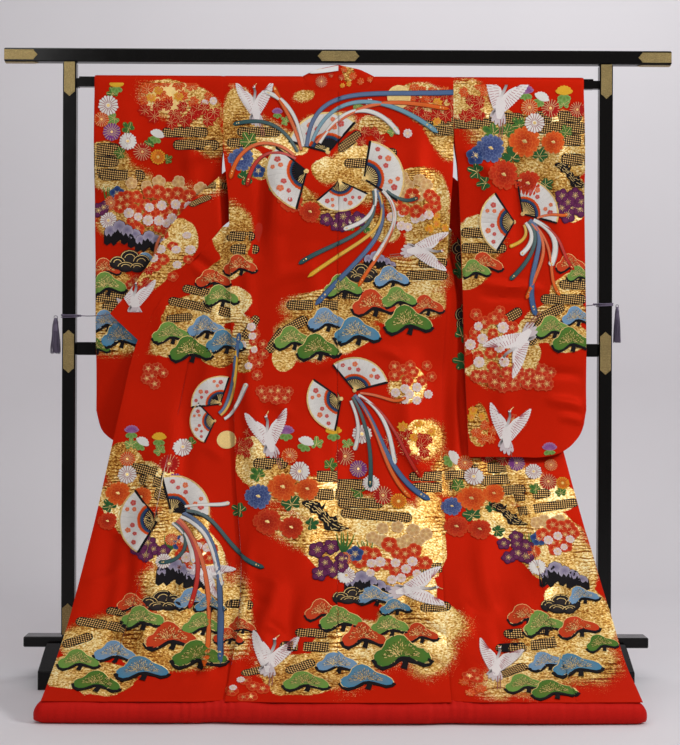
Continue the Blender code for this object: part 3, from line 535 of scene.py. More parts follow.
    def sleeve(self, side: Side, wall: str) -> np.ndarray:
        """One wall of a sleeve, from its inner edge to its outer edge."""
        sign, at_z = side.value, self.sleeve_at[side]
        bottom, corner = SLEEVE_BOTTOM[side], SLEEVE_CORNER[side]
        width = at_z["outer"](bottom) - at_z["inner"](bottom)
        rows = []
        for reach, z in TURN:
            y = -reach if wall == "back" else reach
            inner, outer = at_z["inner"](SHOULDER_END), at_z["outer"](SHOULDER_END)
            rows.append([(sign * mix(inner, outer, u), y, z) for u in SLEEVE_ACROSS])
        for level in SLEEVE_DOWN + (0.650, bottom):
            row = []
            for u in SLEEVE_ACROSS:
                past = max(0.0, u * width - (width - corner))
                lift = corner - math.sqrt(max(corner ** 2 - past ** 2, 0.0))
                drop = SHOULDER_END - bottom
                z = SHOULDER_END - (SHOULDER_END - level) * (drop - lift) / drop
                before, behind = at_z["before"](z), at_z["behind"](z)
                shut = ease(u, 0.74, 0.98) * ease(z, WRIST + 0.03, WRIST - 0.04)
                half = mix((before - behind) / 2, (CLOTH + 0.0006) / 2, shut)
                y = -((before + behind) / 2 + (half if wall == "back" else -half))
                row.append((sign * mix(at_z["inner"](z), at_z["outer"](z), u), y, z))
            rows.append(row)
        return np.array(rows)


# ---------------------------------------------------------------- finishes
Colour = Triple

VERMILION: Colour = (0.530, 0.013, 0.0022)
WHITE: Colour = (0.780, 0.745, 0.700)
CREAM: Colour = (0.700, 0.500, 0.250)
ORANGE: Colour = (0.740, 0.120, 0.010)
SCARLET: Colour = (0.540, 0.018, 0.008)
CRIMSON: Colour = (0.330, 0.010, 0.012)
YELLOW: Colour = (0.780, 0.420, 0.030)
GREEN: Colour = (0.110, 0.230, 0.035)
DEEP_GREEN: Colour = (0.020, 0.100, 0.030)
PALE_GREEN: Colour = (0.260, 0.420, 0.120)
BLUE: Colour = (0.060, 0.125, 0.270)
DEEP_BLUE: Colour = (0.020, 0.035, 0.150)
SKY: Colour = (0.160, 0.330, 0.420)
TEAL: Colour = (0.030, 0.090, 0.095)
PURPLE: Colour = (0.220, 0.050, 0.240)
PLUM: Colour = (0.060, 0.010, 0.045)
BLACK: Colour = (0.012, 0.010, 0.012)
FOIL: Colour = (0.800, 0.520, 0.160)


class Graph:
    """Short words for building one material's nodes."""

    def __init__(self, name: str) -> None:
        """Makes the material and keeps its shader.

        Args:
            name: the material's name.
        """
        self.material = bpy.data.materials.new(name)
        self.material.use_nodes = True
        self.tree = self.material.node_tree
        self.shader = self.tree.nodes["Principled BSDF"]

    def join(self, socket, value) -> None:
        """Sets a socket to a constant, or links another node's output to it."""
        if isinstance(value, bpy.types.NodeSocket):
            self.tree.links.new(value, socket)
        elif isinstance(value, tuple) and socket.type == "RGBA":
            socket.default_value = (*value, 1.0)
        else:
            socket.default_value = value

    def node(self, kind: str, inputs: dict, **settings):
        """Adds a node.

        Args:
            kind: the node's type, without its prefix.
            inputs: a value or a link for each input, by name or number.
            settings: the node's own properties.

        Returns:
            The node.
        """
        made = self.tree.nodes.new("ShaderNode" + kind)
        for key, value in settings.items():
            setattr(made, key, value)
        for key, value in inputs.items():
            self.join(made.inputs[key], value)
        return made

    def math(self, operation: str, a, b=0.0, clamp: bool = False):
        """The result of an operation on two values."""
        return self.node("Math", {0: a, 1: b}, operation=operation, use_clamp=clamp).outputs[0]

    def add(self, a, b):
        """The sum of two values."""
        return self.math("ADD", a, b)

    def times(self, a, b):
        """The product of two values."""
        return self.math("MULTIPLY", a, b)

    def less(self, a, b):
        """The first value less the second."""
        return self.math("SUBTRACT", a, b)

    def plus(self, base, value, share: float):
        """A base and a share of a value."""
        return self.add(self.times(value, share), base)

    def vary(self, value, share: float):
        """A share of how far a value lies from its middle, one half."""
        return self.times(self.less(value, 0.5), share)

    def rise(self, value, low: float, high: float):
        """0 below low and 1 above high."""
        return self.node("MapRange", {"Value": value, "From Min": low, "From Max": high}).outputs["Result"]

    def blend(self, share, a, b):
        """One colour laid over another by a share."""
        mixer = self.node("Mix", {"Factor": share}, data_type="RGBA")
        self.join(mixer.inputs["A"], a)
        self.join(mixer.inputs["B"], b)
        return mixer.outputs["Result"]

    def tint(self, colour, amount):
        """A colour made darker or lighter by an amount round 1."""
        mixer = self.node("Mix", {"Factor": 1.0}, data_type="RGBA", blend_type="MULTIPLY")
        self.join(mixer.inputs["A"], colour)
        grey = self.node("CombineColor", {0: amount, 1: amount, 2: amount}).outputs[0]
        self.join(mixer.inputs["B"], grey)
        return mixer.outputs["Result"]

    def place(self, source: str = "Object", turn: float = 0.0, stretch: Sequence[float] = (1.0, 1.0, 1.0)):
        """Coordinates of the piece or of its UV map, turned about Z and stretched."""
        where = self.node("TexCoord", {}).outputs[source]
        return self.node("Mapping", {"Vector": where, "Rotation": (0.0, 0.0, turn), "Scale": stretch}).outputs[0]

    def noise(self, scale: float, detail: float = 2.0, vector=None, rough: float = 0.5):
        """A noise from 0 to 1."""
        vector = self.place() if vector is None else vector
        return self.node(
            "TexNoise", {"Vector": vector, "Scale": scale, "Detail": detail, "Roughness": rough}
        ).outputs["Fac"]

    def lines(self, period: float, vector, bend: float = 0.0):
        """Ribs of a period in metres across the vector's first axis."""
        inputs = {"Vector": vector, "Scale": math.pi / (10.0 * period), "Distortion": bend, "Detail": 1.0}
        return self.node("TexWave", inputs).outputs["Fac"]

    def bump(self, height, depth: float, strength: float = 1.0, under=None):
        """A normal raised by a height, in metres of depth."""
        inputs = {"Height": height, "Distance": depth, "Strength": strength}
        if under is not None:
            inputs["Normal"] = under
        return self.node("Bump", inputs).outputs["Normal"]

    def finish(self, colour, roughness, metallic=0.0, normal=None, **constants):
        """Joins everything to the shader.

        Args:
            colour, roughness, metallic, normal: values or links.
            constants: other inputs of the shader, by name with underscores for spaces.

        Returns:
            The material.
        """
        self.join(self.shader.inputs["Base Color"], colour)
        self.join(self.shader.inputs["Roughness"], roughness)
        self.join(self.shader.inputs["Metallic"], metallic)
        if normal is not None:
            self.join(self.shader.inputs["Normal"], normal)
        for key, value in constants.items():
            self.shader.inputs[key.replace("_", " ")].default_value = value
        return self.material


@dataclass(frozen=True)
class Brocade:
    """Satin brocade with gold foil woven into it where the cloth's own "gold" attribute is above zero."""

    name: str = "brocade_face"
    ground: Colour = VERMILION
    rib: float = 0.0011                  # metres from one rib of the weave to the next
    floats: float = 420.0                # how fine the satin's floats are
    weave_relief: float = 0.00022        # metres
    foil_relief: float = 0.0009
    crumple: float = 230.0               # how fine the foil's crumples are
    waves: float = 36.0                  # how close its drawn lines lie
    wander: float = 0.024                # metres that the foil's edge strays
    solid: float = 0.0012                # metres over which the solid foil starts
    least_dust: float = 0.0025           # metres that dust of gold falls beyond it everywhere
    more_dust: float = 0.034             # and further in places

    # The foil's tones, read by its crumples and drawn lines. The dark brown end is partly the brown of the drawn lines
    # and partly painted shade where the crumples dip. The pale bright end is a painted highlight where they rise. The
    # stops between are the gold's own colour.
    TONES = ((0.22, (0.090, 0.016, 0.004)), (0.68, (1.0, 0.90, 0.55)), (0.36, (0.33, 0.110, 0.016)),
             (0.46, (0.60, 0.31, 0.060)), (0.56, (0.86, 0.58, 0.19)))        # the foil's two ends, then between

    def build(self) -> Material:
        """Builds the material."""
        g = Graph(self.name)
        ribs = g.lines(self.rib, g.place("UV"))
        floats = g.noise(self.floats, 2.0)
        shade = g.plus(0.85, g.noise(5.0, 3.0), 0.30)
        red = g.tint(self.ground, g.add(shade, g.vary(floats, 0.16)))
        weave = g.add(g.times(ribs, 0.5), g.times(floats, 0.5))
        inside = g.node("Attribute", {}, attribute_name="gold").outputs["Fac"]
        edge = g.add(inside, g.vary(g.noise(16.0, 4.0), self.wander))
        crisp = g.rise(edge, 0.0, self.solid)
        reach = g.plus(self.least_dust, g.rise(g.noise(4.5, 1.0), 0.44, 0.60), self.more_dust)
        fade = g.math("SUBTRACT", 1.0, g.math("DIVIDE", g.times(edge, -1.0), reach), clamp=True)
        dust = g.rise(g.add(g.noise(560.0, 1.0, rough=0.6), g.times(fade, 0.50)), 0.88, 0.93)
        gold = g.math("MAXIMUM", crisp, g.times(dust, g.rise(fade, 0.0, 0.05)))
        flow = g.node("TexWave", {"Vector": g.place(stretch=(0.30, 1.0, 1.0)), "Scale": self.waves,
                                  "Distortion": 9.0, "Detail": 2.0, "Detail Scale": 0.8},
                      bands_direction="Z").outputs["Fac"]
        crumple = g.noise(self.crumple, 3.0, g.place(stretch=(0.75, 1.0, 1.2)), rough=0.62)
        lines = g.times(g.rise(flow, 0.40, 0.10), g.rise(g.noise(9.0, 2.0), 0.50, 0.60))
        hatch = g.less(crumple, g.times(lines, 0.22))
        patchy = g.rise(g.noise(6.5, 3.0, rough=0.6), 0.34, 0.66)
        # This ramp puts painted shade into the foil's dips and a painted highlight on its rises, besides the brown of
        # its lines.
        ramp = g.node("ValToRGB", {"Fac": g.add(hatch, g.vary(patchy, 0.20))})
        stops = ramp.color_ramp.elements
        for k, (position, tone) in enumerate(self.TONES):
            stop = stops[k] if k < 2 else stops.new(position)
            stop.position, stop.color = position, (*tone, 1.0)
        colour = g.blend(gold, red, ramp.outputs["Color"])
        rough = g.less(0.50, g.times(gold, 0.16))
        raised = g.bump(g.times(gold, hatch), self.foil_relief, 0.8, g.bump(weave, self.weave_relief, 0.7))
        return g.finish(colour, rough, g.plus(0.25, gold, 0.30), raised, Specular_IOR_Level=0.02)


@dataclass(frozen=True)
class PlainSilk:
    """Plain woven silk, as a lining."""

    name: str
    colour: Colour
    roughness: float = 0.55
    wrinkle: float = 0.0006
    stretch: Triple = (14.0, 60.0, 60.0)

    def build(self) -> Material:
        """Builds the material."""
        g = Graph(self.name)
        fine = g.noise(520.0, 2.0)
        across = g.noise(1.0, 2.0, g.place(stretch=self.stretch))
        colour = g.tint(self.colour, g.plus(0.82, g.add(fine, across), 0.18))
        weave = g.bump(fine, 0.00016, 0.7)
        return g.finish(colour, self.roughness, 0.05, g.bump(across, self.wrinkle, 0.8, weave), Specular_IOR_Level=0.04)


@dataclass(frozen=True)
class Floss:
    """Untwisted silk floss in long satin stitches, its colour from the piece's "stitch" attribute."""

    name: str = "embroidery_floss"
    stitch: float = 0.0012

    def build(self) -> Material:
        """Builds the material."""
        g = Graph(self.name)
        dye = g.node("Attribute", {}, attribute_name="stitch").outputs["Color"]
        rows = g.lines(self.stitch, g.place("UV"), 1.5)
        hairs = g.noise(1.0, 2.0, g.place("UV", stretch=(2600.0, 240.0, 1.0)))
        light = g.plus(0.80, g.add(rows, hairs), 0.20)
        height = g.add(rows, g.times(hairs, 0.5))
        return g.finish(g.tint(dye, light), 0.46, 0.08, g.bump(height, 0.00035, 0.8), Specular_IOR_Level=0.06)


@dataclass(frozen=True)
class GoldThread:
    """Gold thread laid in rows and couched down."""

    name: str = "gold_thread"
    twist: float = 0.0010

    def build(self) -> Material:
        """Builds the material."""
        g = Graph(self.name)
        rows = g.lines(self.twist, g.place("UV"), 2.0)
        light = g.plus(0.62, g.add(rows, g.noise(300.0)), 0.42)
        return g.finish(g.tint((0.86, 0.60, 0.23), light), 0.36, 0.60, g.bump(rows, 0.0004, 0.9))


@dataclass(frozen=True)
class Lattice:
    """Black silk crossed by a slanting net of short pale gold floats."""

    name: str = "mist_lattice"
    mesh: float = 0.0042
    slant: float = math.radians(52.0)

    def build(self) -> Material:
        """Builds the material."""
        g = Graph(self.name)
        axes = g.node("SeparateXYZ", {"Vector": g.place("UV", turn=self.slant, stretch=(1 / self.mesh,) * 3)})
        cells = [g.math("FRACT", a) for a in axes.outputs[:2]]
        odd = g.math("FRACT", g.times(g.math(
            "ADD", g.math("FLOOR", axes.outputs[0]), g.math("FLOOR", axes.outputs[1])), 0.5))
        small = [g.math("LESS_THAN", g.math("ABSOLUTE", g.less(c, 0.5)), 0.40) for c in cells]
        dash = g.times(g.times(small[0], small[1]), g.math("GREATER_THAN", odd, 0.25))
        gold = g.tint((0.80, 0.48, 0.17), g.plus(0.55, g.noise(200.0), 0.8))
        return g.finish(g.blend(dash, (0.010, 0.007, 0.006), gold), 0.45, g.times(dash, 0.4),
                        g.bump(dash, 0.0003, 0.8), Specular_IOR_Level=0.04)


@dataclass(frozen=True)
class Lacquer:
    """Polished black lacquer over wood, with faint rubbing marks and dust."""

    name: str = "black_lacquer"

    def build(self) -> Material:
        """Builds the material."""
        g = Graph(self.name)
        waves = g.noise(9.0, 2.0)
        rub = g.noise(1.0, 4.0, g.place(stretch=(30.0, 30.0, 4.0)), rough=0.7)
        dust = g.rise(g.noise(700.0, 2.0), 0.63, 0.70)
        colour = g.blend(g.times(dust, 0.03), (0.0045, 0.0040, 0.0038), (0.25, 0.24, 0.25))
        rough = g.plus(0.10, g.add(rub, dust), 0.10)
        normal = g.bump(waves, 0.0010, 0.5)
        return g.finish(colour, rough, 0.0, normal, Specular_IOR_Level=0.16, Coat_Weight=0.04, Coat_Roughness=0.06)


@dataclass(frozen=True)
class Gilt:
    """Gilt sheet metal engraved with small scrolls inside a plain border."""

    name: str = "engraved_gilt"

    def build(self) -> Material:
        """Builds the material."""
        g = Graph(self.name)
        swirl = g.node("TexVoronoi", {"Vector": g.place(), "Scale": 260.0}, feature="DISTANCE_TO_EDGE").outputs[0]
        curl = g.node(
            "TexWave", {"Vector": g.place(), "Scale": 90.0, "Distortion": 9.0, "Detail": 2.0, "Detail Scale": 2.5},
            wave_type="RINGS"
        ).outputs["Fac"]
        cut = g.times(g.rise(curl, 0.35, 0.65), g.rise(swirl, 0.02, 0.12))
        tarnish = g.noise(45.0, 3.0)
        light = g.add(0.55, g.add(g.times(cut, 0.38), g.times(tarnish, 0.25)))
        rough = g.plus(0.26, tarnish, 0.22)
        return g.finish(g.tint((0.50, 0.37, 0.155), light), rough, 0.85, g.bump(cut, 0.0006, 0.9))


@dataclass(frozen=True)
class Braid:
    """Round braided silk cord, its slanting strands from the piece's own coordinates."""

    name: str = "braided_cord"
    colour: Colour = (0.105, 0.080, 0.135)

    def build(self) -> Material:
        """Builds the material."""
        g = Graph(self.name)
        strands = g.noise(900.0, 2.0)
        rows = g.noise(1.0, 1.0, g.place(turn=0.7, stretch=(700.0, 300.0, 300.0)))
        colour = g.tint(self.colour, g.plus(0.55, g.add(strands, rows), 0.5))
        return g.finish(colour, 0.55, 0.0, g.bump(rows, 0.0006, 0.9), Sheen_Weight=0.3)


@dataclass(frozen=True)
class Paper:
    """The seamless pale ground and backdrop."""

    name: str = "studio_paper"
    colour: Colour = (0.72, 0.70, 0.73)

    def build(self) -> Material:
        """Builds the material."""
        g = Graph(self.name)
        return g.finish(g.tint(self.colour, g.plus(0.97, g.noise(2.0), 0.06)), 0.85)


class Wardrobe:
    """Every finish, built once."""

    def __init__(self) -> None:
        """Builds the materials."""
        self.brocade = Brocade().build()
        self.lining = PlainSilk("silk_lining", (0.500, 0.026, 0.012)).build()
        self.hem = PlainSilk("hem_silk", (0.545, 0.012, 0.008), wrinkle=0.0038, stretch=(52.0, 7.0, 7.0)).build()
        self.white = PlainSilk("white_figured_silk", (0.760, 0.735, 0.715), wrinkle=0.0012).build()
        self.floss = Floss().build()
        self.gold = GoldThread().build()
        self.lattice = Lattice().build()
        self.lacquer = Lacquer().build()
        self.gilt = Gilt().build()
        self.cord = Braid().build()
        self.paper = Paper().build()


# ---------------------------------------------------------------- motifs
class Thread(Enum):
    """What a shape is worked in, numbered as the embroidery's material slots."""

    FLOSS = 0
    GOLD = 1
    LATTICE = 2


SKIRT = -1.0                      # marks a point that is tucked into the cloth under its shape's edge
TUCKED = -0.0003


def turned_by(points: Iterable[Sequence[float]], degrees: float) -> np.ndarray:
    """Points turned about the origin."""
    a = math.radians(degrees)
    p = np.array(points, float)
    return p @ np.array([[math.cos(a), math.sin(a)], [-math.sin(a), math.cos(a)]])


def arc(centre: Sequence[float], radius: float, start: float, end: float, count: int) -> list[tuple[float, float]]:
    """Points along an arc, its angles in degrees."""
    angles = np.radians(np.linspace(start, end, count))
    return [(centre[0] + radius * math.cos(a), centre[1] + radius * math.sin(a)) for a in angles]


class Motif:
    """The shapes of one motif in its own plane, of unit size, Y up the cloth, their heights in metres."""

    def __init__(self) -> None:
        """Starts with no shape."""
        self.at: list[Triple] = []
        self.dye: list[Colour] = []
        self.grain: list[tuple[float, float]] = []
        self.faces: FaceList = []
        self.worked: list[int] = []

    def _points(self, points: np.ndarray, height: float, dye: Sequence[float], grain: float) -> list[int]:
        """Adds points and gives their numbers."""
        first = len(self.at)
        for p, g in zip(points, turned_by(points, -grain)):
            self.at.append((float(p[0]), float(p[1]), height))
            self.dye.append(tuple(dye))
            self.grain.append((float(g[0]), float(g[1])))
        return list(range(first, len(self.at)))

    def _face(self, face: tuple[int, ...], thread: Thread) -> None:
        """Adds a face."""
        self.faces.append(face)
        self.worked.append(thread.value)

    def patch(self, outline: Points, rim: Colour, heart: Optional[Colour] = None,
              level: float = 0.0, rings: int = 1, grain: float = 0.0, dome: float = 0.0003,
              thread: Thread = Thread.FLOSS, centre: Optional[Sequence[float]] = None, fade: float = 0.8) -> None:
        """Adds a padded shape that a centre point sees the whole outline of.

        Args:
            outline: its points, anticlockwise.
            rim, heart: its colours at the edge and in the middle.
            level, dome: its height above the cloth at the edge, and how much more in the middle.
            rings: how many rings of faces lie between the edge and the middle.
            grain: the direction of its stitches in degrees.
            thread: what it is worked in.
            centre: its middle, if not the mean of the outline.
            fade: how far in the edge's colour goes; a small number keeps it thin.
        """
        outline = np.array(outline, float)
        middle = outline.mean(axis=0) if centre is None else np.array(centre, float)
        heart = rim if heart is None else heart
        shares = [1.0, 1.0] + [1.0 - (k + 0.6) / (rings + 0.6) for k in range(rings)]
        loops = []
        for k, share in enumerate(shares):
            height = SKIRT if k == 0 else level + dome * math.sqrt(1.0 - share * share)
            dye = [mix(a, b, (1.0 - share) ** fade) for a, b in zip(rim, heart)]
            loops.append(self._points(middle + (outline - middle) * share, height, dye, grain))
        tip = self._points(middle[None, :], level + dome, heart, grain)[0]
        count = len(outline)
        for a, b in zip(loops, loops[1:]):
            for i in range(count):
                j = (i + 1) % count
                self._face((a[i], a[j], b[j], b[i]), thread)
        for i in range(count):
            self._face((loops[-1][i], loops[-1][(i + 1) % count], tip), thread)

    def band(self, line: Points, width: Callable[[float], float], root: Colour,
             tip: Optional[Colour] = None, level: float = 0.0, dome: float = 0.0003,
             thread: Thread = Thread.FLOSS) -> None:
        """Adds a raised strip along a line.

        Args:
            line: its middle.
            width: half its width at a share of its length.
            root, tip: its colours at the two ends.
            level, dome, thread: as in patch.
        """
        line = np.array(line, float)
        tangent = np.gradient(line, axis=0)
        tangent /= np.maximum(np.linalg.norm(tangent, axis=1, keepdims=True), 1e-9)
        across = np.stack([-tangent[:, 1], tangent[:, 0]], axis=1)
        run = along(line)
        rows = []
        for k, (p, n) in enumerate(zip(line, across)):
            share = run[k] / run[-1]
            dye = [mix(a, b, share) for a, b in zip(root, root if tip is None else tip)]
            row = []
            for step, height in ((1, SKIRT), (1, level), (0, level + dome), (-1, level), (-1, SKIRT)):
                offset = step * width(share)
                index = self._points((p + n * offset)[None, :], height, dye, 0.0)[0]
                self.grain[index] = (float(run[k]), float(offset))
                row.append(index)
            rows.append(row)
        for a, b in zip(rows, rows[1:]):
            for i in range(4):
                self._face((a[i], a[i + 1], b[i + 1], b[i]), thread)

    def stroke(self, a: Sequence[float], b: Sequence[float], width: float, level: float,
               dye: Colour = FOIL, thread: Thread = Thread.GOLD) -> None:
        """Adds one flat stitch from a to b."""
        a, b = np.array(a, float), np.array(b, float)
        n = np.array([-(b - a)[1], (b - a)[0]])
        n *= width / 2 / max(np.linalg.norm(n), 1e-9)
        self._face(tuple(self._points(np.array([a - n, b - n, b + n, a + n]), level, dye, 0.0)), thread)

    def spoke(self, angle: float, start: float, end: float, width: float, level: float,
              dye: Colour = FOIL, thread: Thread = Thread.GOLD) -> None:
        """Adds one flat stitch that points outwards."""
        a, b = turned_by([(0.0, start), (0.0, end)], angle)
        self.stroke(a, b, width, level, dye, thread)

    def knot(self, centre: Sequence[float], radius: float, level: float, sides: int = 6, dye: Colour = FOIL,
             thread: Thread = Thread.GOLD) -> None:
        """Adds a round knot."""
        self.patch(arc(centre, radius, 0, 360 - 360 / sides, sides), dye, level=level, thread=thread)


def petal(angle: float, root: float, reach: float, width: float, notch: float = 0.0) -> np.ndarray:
    """A petal's outline, pointing up before it is turned, notched at its tip by a share of its length."""
    long = reach - root
    profile = ((0.16, 0.0), (0.42, 0.40), (0.50, 0.70), (0.34, 0.93), (0.0, 1.0 - notch),
               (-0.34, 0.93), (-0.50, 0.70), (-0.42, 0.40), (-0.16, 0.0))
    return turned_by([(width * x, root + long * y) for x, y in profile], angle)


def paler(dye: Colour, share: float) -> Colour:
    """A colour mixed with the white of silk."""
    return tuple(mix(c, w, share) for c, w in zip(dye, WHITE))


def chrysanthemum(rim: Colour, heart: Colour, edge: Colour, rings: int = 4, petals: int = 17) -> Motif:
    """A full chrysanthemum seen from the front, each petal edged in a paler thread."""
    m = Motif()
    for k in range(rings):
        count = petals - 2 * k
        dye = tuple(mix(a, b, 0.30 * k) for a, b in zip(rim, heart))
        for i in range(count):
            angle = 360.0 * (i + 0.5 * (k % 2)) / count + 4.0 * math.sin(2.3 * i + k)
            reach = (1.0 - 0.21 * k) * (0.97 + 0.05 * math.sin(5.1 * i + 2.0 * k))
            m.patch(petal(angle, 0.10, reach, 2 * math.pi * reach / count * 1.05), edge, dye, 0.00020 * k,
                    grain=angle, fade=0.3)
    top = 0.00020 * rings + 0.00020
    for x, y, size in ((0.02, 0.03, 0.11), (-0.10, 0.05, 0.06), (0.11, -0.04, 0.06)):
        m.patch(arc((x, y), size, 0, 300, 6), CREAM, FOIL, top, thread=Thread.GOLD)
    return m


def daisy(rim: Colour, heart: Colour, line: Colour) -> Motif:
    """A single chrysanthemum with a line between its petals."""
    m = Motif()
    for i in range(18):
        m.patch(petal(20.0 * i, 0.10, 1.0 if i % 2 else 0.94, 0.31), rim, heart, grain=20.0 * i)
        end = turned_by([(0.165, 0.95), (0.05, 0.25)], 20.0 * i)
        m.stroke(end[0], end[1], 0.050, 0.00034, line, Thread.FLOSS)
    m.knot((0, 0), 0.17, 0.0004, 8)
    return m


def side_bloom(rim: Colour, heart: Colour) -> Motif:
    """A chrysanthemum seen from its side, above two leaves."""
    m = Motif()
    for angle in (62, -62, 40, -40, 20, -20, 0):
        m.patch(petal(angle, 0.0, 1.0, 0.42), rim, heart, 0.0002, grain=angle)
    for angle in (130, -130, 180):
        m.patch(petal(angle, 0.0, 0.85, 0.55), PALE_GREEN, GREEN, grain=angle)
    return m


def blossom(rim: Colour, heart: Colour, notch: float = 0.0) -> Motif:
    """A plum blossom, or with notched petals a cherry blossom."""
    m = Motif()
    for i in range(5):
        m.patch(petal(72.0 * i, 0.06, 1.0, 0.98, notch), rim, heart, grain=72.0 * i, fade=0.4)
    for i in range(10):
        m.spoke(36.0 * i, 0.16, 0.50 if i % 2 else 0.38, 0.055, 0.00045)
    m.knot((0, 0), 0.15, 0.0004)
    return m


def maple(rim: Colour, heart: Colour) -> Motif:
    """A seven-pointed maple leaf with thin gold veins."""
    m = Motif()
    tips = ((-128, 0.62), (-88, 0.84), (-42, 0.97), (0, 1.0), (42, 0.97), (88, 0.84), (128, 0.62))
    outline = []
    for angle, reach in tips:
        lobe = [(0.21, 0.40 * reach), (0.23, 0.66 * reach), (0.0, reach), (-0.23, 0.66 * reach),
                (-0.21, 0.40 * reach)]
        outline += list(turned_by(lobe, angle))
    outline.append((0.0, -0.12))
    m.patch(outline, rim, heart, centre=(0.0, 0.0))
    for angle, reach in tips:
        m.spoke(angle, 0.05, reach * 0.80, 0.026, 0.00036)
    m.stroke((0.0, -0.08), (0.06, -0.62), 0.06, 0.0002)
    return m


def leaves(rim: Colour, heart: Colour) -> Motif:
    """Five leaves round a stalk, each with a gold vein."""
    m = Motif()
    for angle, reach in ((0, 1.0), (58, 0.82), (-55, 0.86), (112, 0.60), (-108, 0.62)):
        m.patch(petal(angle, 0.04, reach, 0.52), rim, heart, grain=angle + 35)
        m.spoke(angle, 0.05, reach * 0.92, 0.045, 0.00036)
    return m


def blades(rim: Colour, heart: Colour) -> Motif:
    """A tuft of long narrow leaves."""
    m = Motif()
    for angle, bend in ((-34, 0.30), (-14, 0.16), (6, -0.12), (28, -0.30), (48, -0.34)):
        line = turned_by([(bend * t * t, t) for t in np.linspace(0, 1, 6)], -angle)
        m.band(line, lambda s: 0.060 * (1.03 - s) + 0.012, heart, rim)
    return m


PINE_CROWN = (
    (-1.00, -0.34), (-1.02, -0.16), (-0.90, 0.00), (-0.74, 0.08), (-0.64, 0.24), (-0.56, 0.44), (-0.40, 0.58),
    (-0.18, 0.64), (0.04, 0.58), (0.20, 0.44), (0.34, 0.28), (0.54, 0.18), (0.76, 0.08), (0.94, -0.08),
    (1.02, -0.26), (0.94, -0.40), (0.74, -0.44), (0.52, -0.36), (0.30, -0.26), (0.08, -0.20), (-0.14, -0.24),
    (-0.32, -0.38), (-0.50, -0.52), (-0.72, -0.58), (-0.92, -0.50),
)


def pine(rim: Colour, heart: Colour) -> Motif:
    """A cloud-shaped crown of pine, edged with gold, over a dark bough, with needles in its middle."""
    m = Motif()
    m.band([(0.02, -0.24), (0.10, -0.42), (0.02, -0.66)], lambda s: 0.085 + 0.03 * s, BLACK)
    m.band([(-1.03, -0.30)] + [(x, y - 0.04) for x, y in PINE_CROWN[:13:-1]],
           lambda s: 0.10 + 0.025 * math.sin(40.0 * s), BLACK, level=0.0002)
    m.band(PINE_CROWN + PINE_CROWN[:1], lambda s: 0.036, FOIL, level=0.0003, dome=0.0, thread=Thread.GOLD)
    m.patch(list(reversed(PINE_CROWN)), rim, heart, level=0.0004, rings=4, dome=0.0009, grain=20.0,
            centre=(-0.05, 0.05))
    rng = np.random.default_rng(7)
    brown = tuple(0.35 * c for c in heart)
    for k in range(150):
        a, reach = rng.uniform(0.0, math.pi), rng.uniform(0.05, 1.0)
        x = -0.06 + 0.62 * reach * math.cos(a)
        y = -0.16 - 0.12 * abs(x) + (0.56 - 0.22 * x) * reach * math.sin(a)
        lean, long = a + rng.uniform(-0.7, 0.7), rng.uniform(0.05, 0.10)
        dye, thread = (FOIL, Thread.GOLD) if k % 3 else (brown, Thread.FLOSS)
        m.stroke((x, y), (x + long * math.cos(lean), y + long * math.sin(lean)), 0.022, 0.00142, dye, thread)
    return m


def rock(rim: Colour, heart: Colour) -> Motif:
    """A heap of rounded dark boulders, each with gold contour lines."""
    m = Motif()
    lumps = ((-0.55, -0.10, 0.42, 0.34), (0.05, 0.12, 0.50, 0.44), (0.60, -0.06, 0.44, 0.38),
             (-0.15, -0.30, 0.44, 0.26), (0.40, -0.34, 0.36, 0.24))
    for k, (x, y, w, h) in enumerate(lumps):
        level = 0.00014 * k
        m.patch([(x + w * px, y + h * py) for px, py in arc((0, 0), 1.0, 0, 330, 12)], rim, heart, level, rings=2)
        for share in (0.88, 0.48):
            vein = [(x + share * w * px, y + share * h * py) for px, py in arc((0, 0), 1.0, 15, 175, 7)]
            for a, b in zip(vein, vein[1:]):
                m.stroke(a, b, 0.035, level + 0.00042)
    return m


def cliff(rim: Colour, heart: Colour) -> Motif:
    """Upright rocks with pale rounded tops over jagged black flanks."""
    m = Motif()
    fingers = ((0.80, -0.30, 0.27, 0.34), (-0.72, 0.02, 0.30, 0.46), (0.44, -0.14, 0.32, 0.44),
               (-0.28, 0.20, 0.36, 0.52), (0.10, 0.04, 0.30, 0.46))
    for k, (x, y, w, h) in enumerate(fingers):
        level = 0.00016 * k
        flank = [(-1.0, -0.9), (-0.5, -1.1), (0.1, -0.8), (0.5, -1.15), (1.0, -0.9), (1.0, 0.3), (0.7, 0.78),
                 (0.0, 1.0), (-0.7, 0.78), (-1.0, 0.3)]
        cap = [(-0.84, 0.05), (-0.55, -0.16), (-0.20, 0.16), (0.12, -0.22), (0.46, 0.10), (0.84, -0.04),
               (0.90, 0.36), (0.64, 0.76), (0.0, 0.95), (-0.64, 0.76), (-0.90, 0.36)]
        m.patch([(x + w * a, y + h * b) for a, b in flank], BLACK, level=level, rings=2)
        m.patch([(x + w * a, y + h * b) for a, b in cap], rim, heart, level + 0.00030, 2, 90.0, 0.0003,
                centre=(x, y + 0.45 * h))
    return m


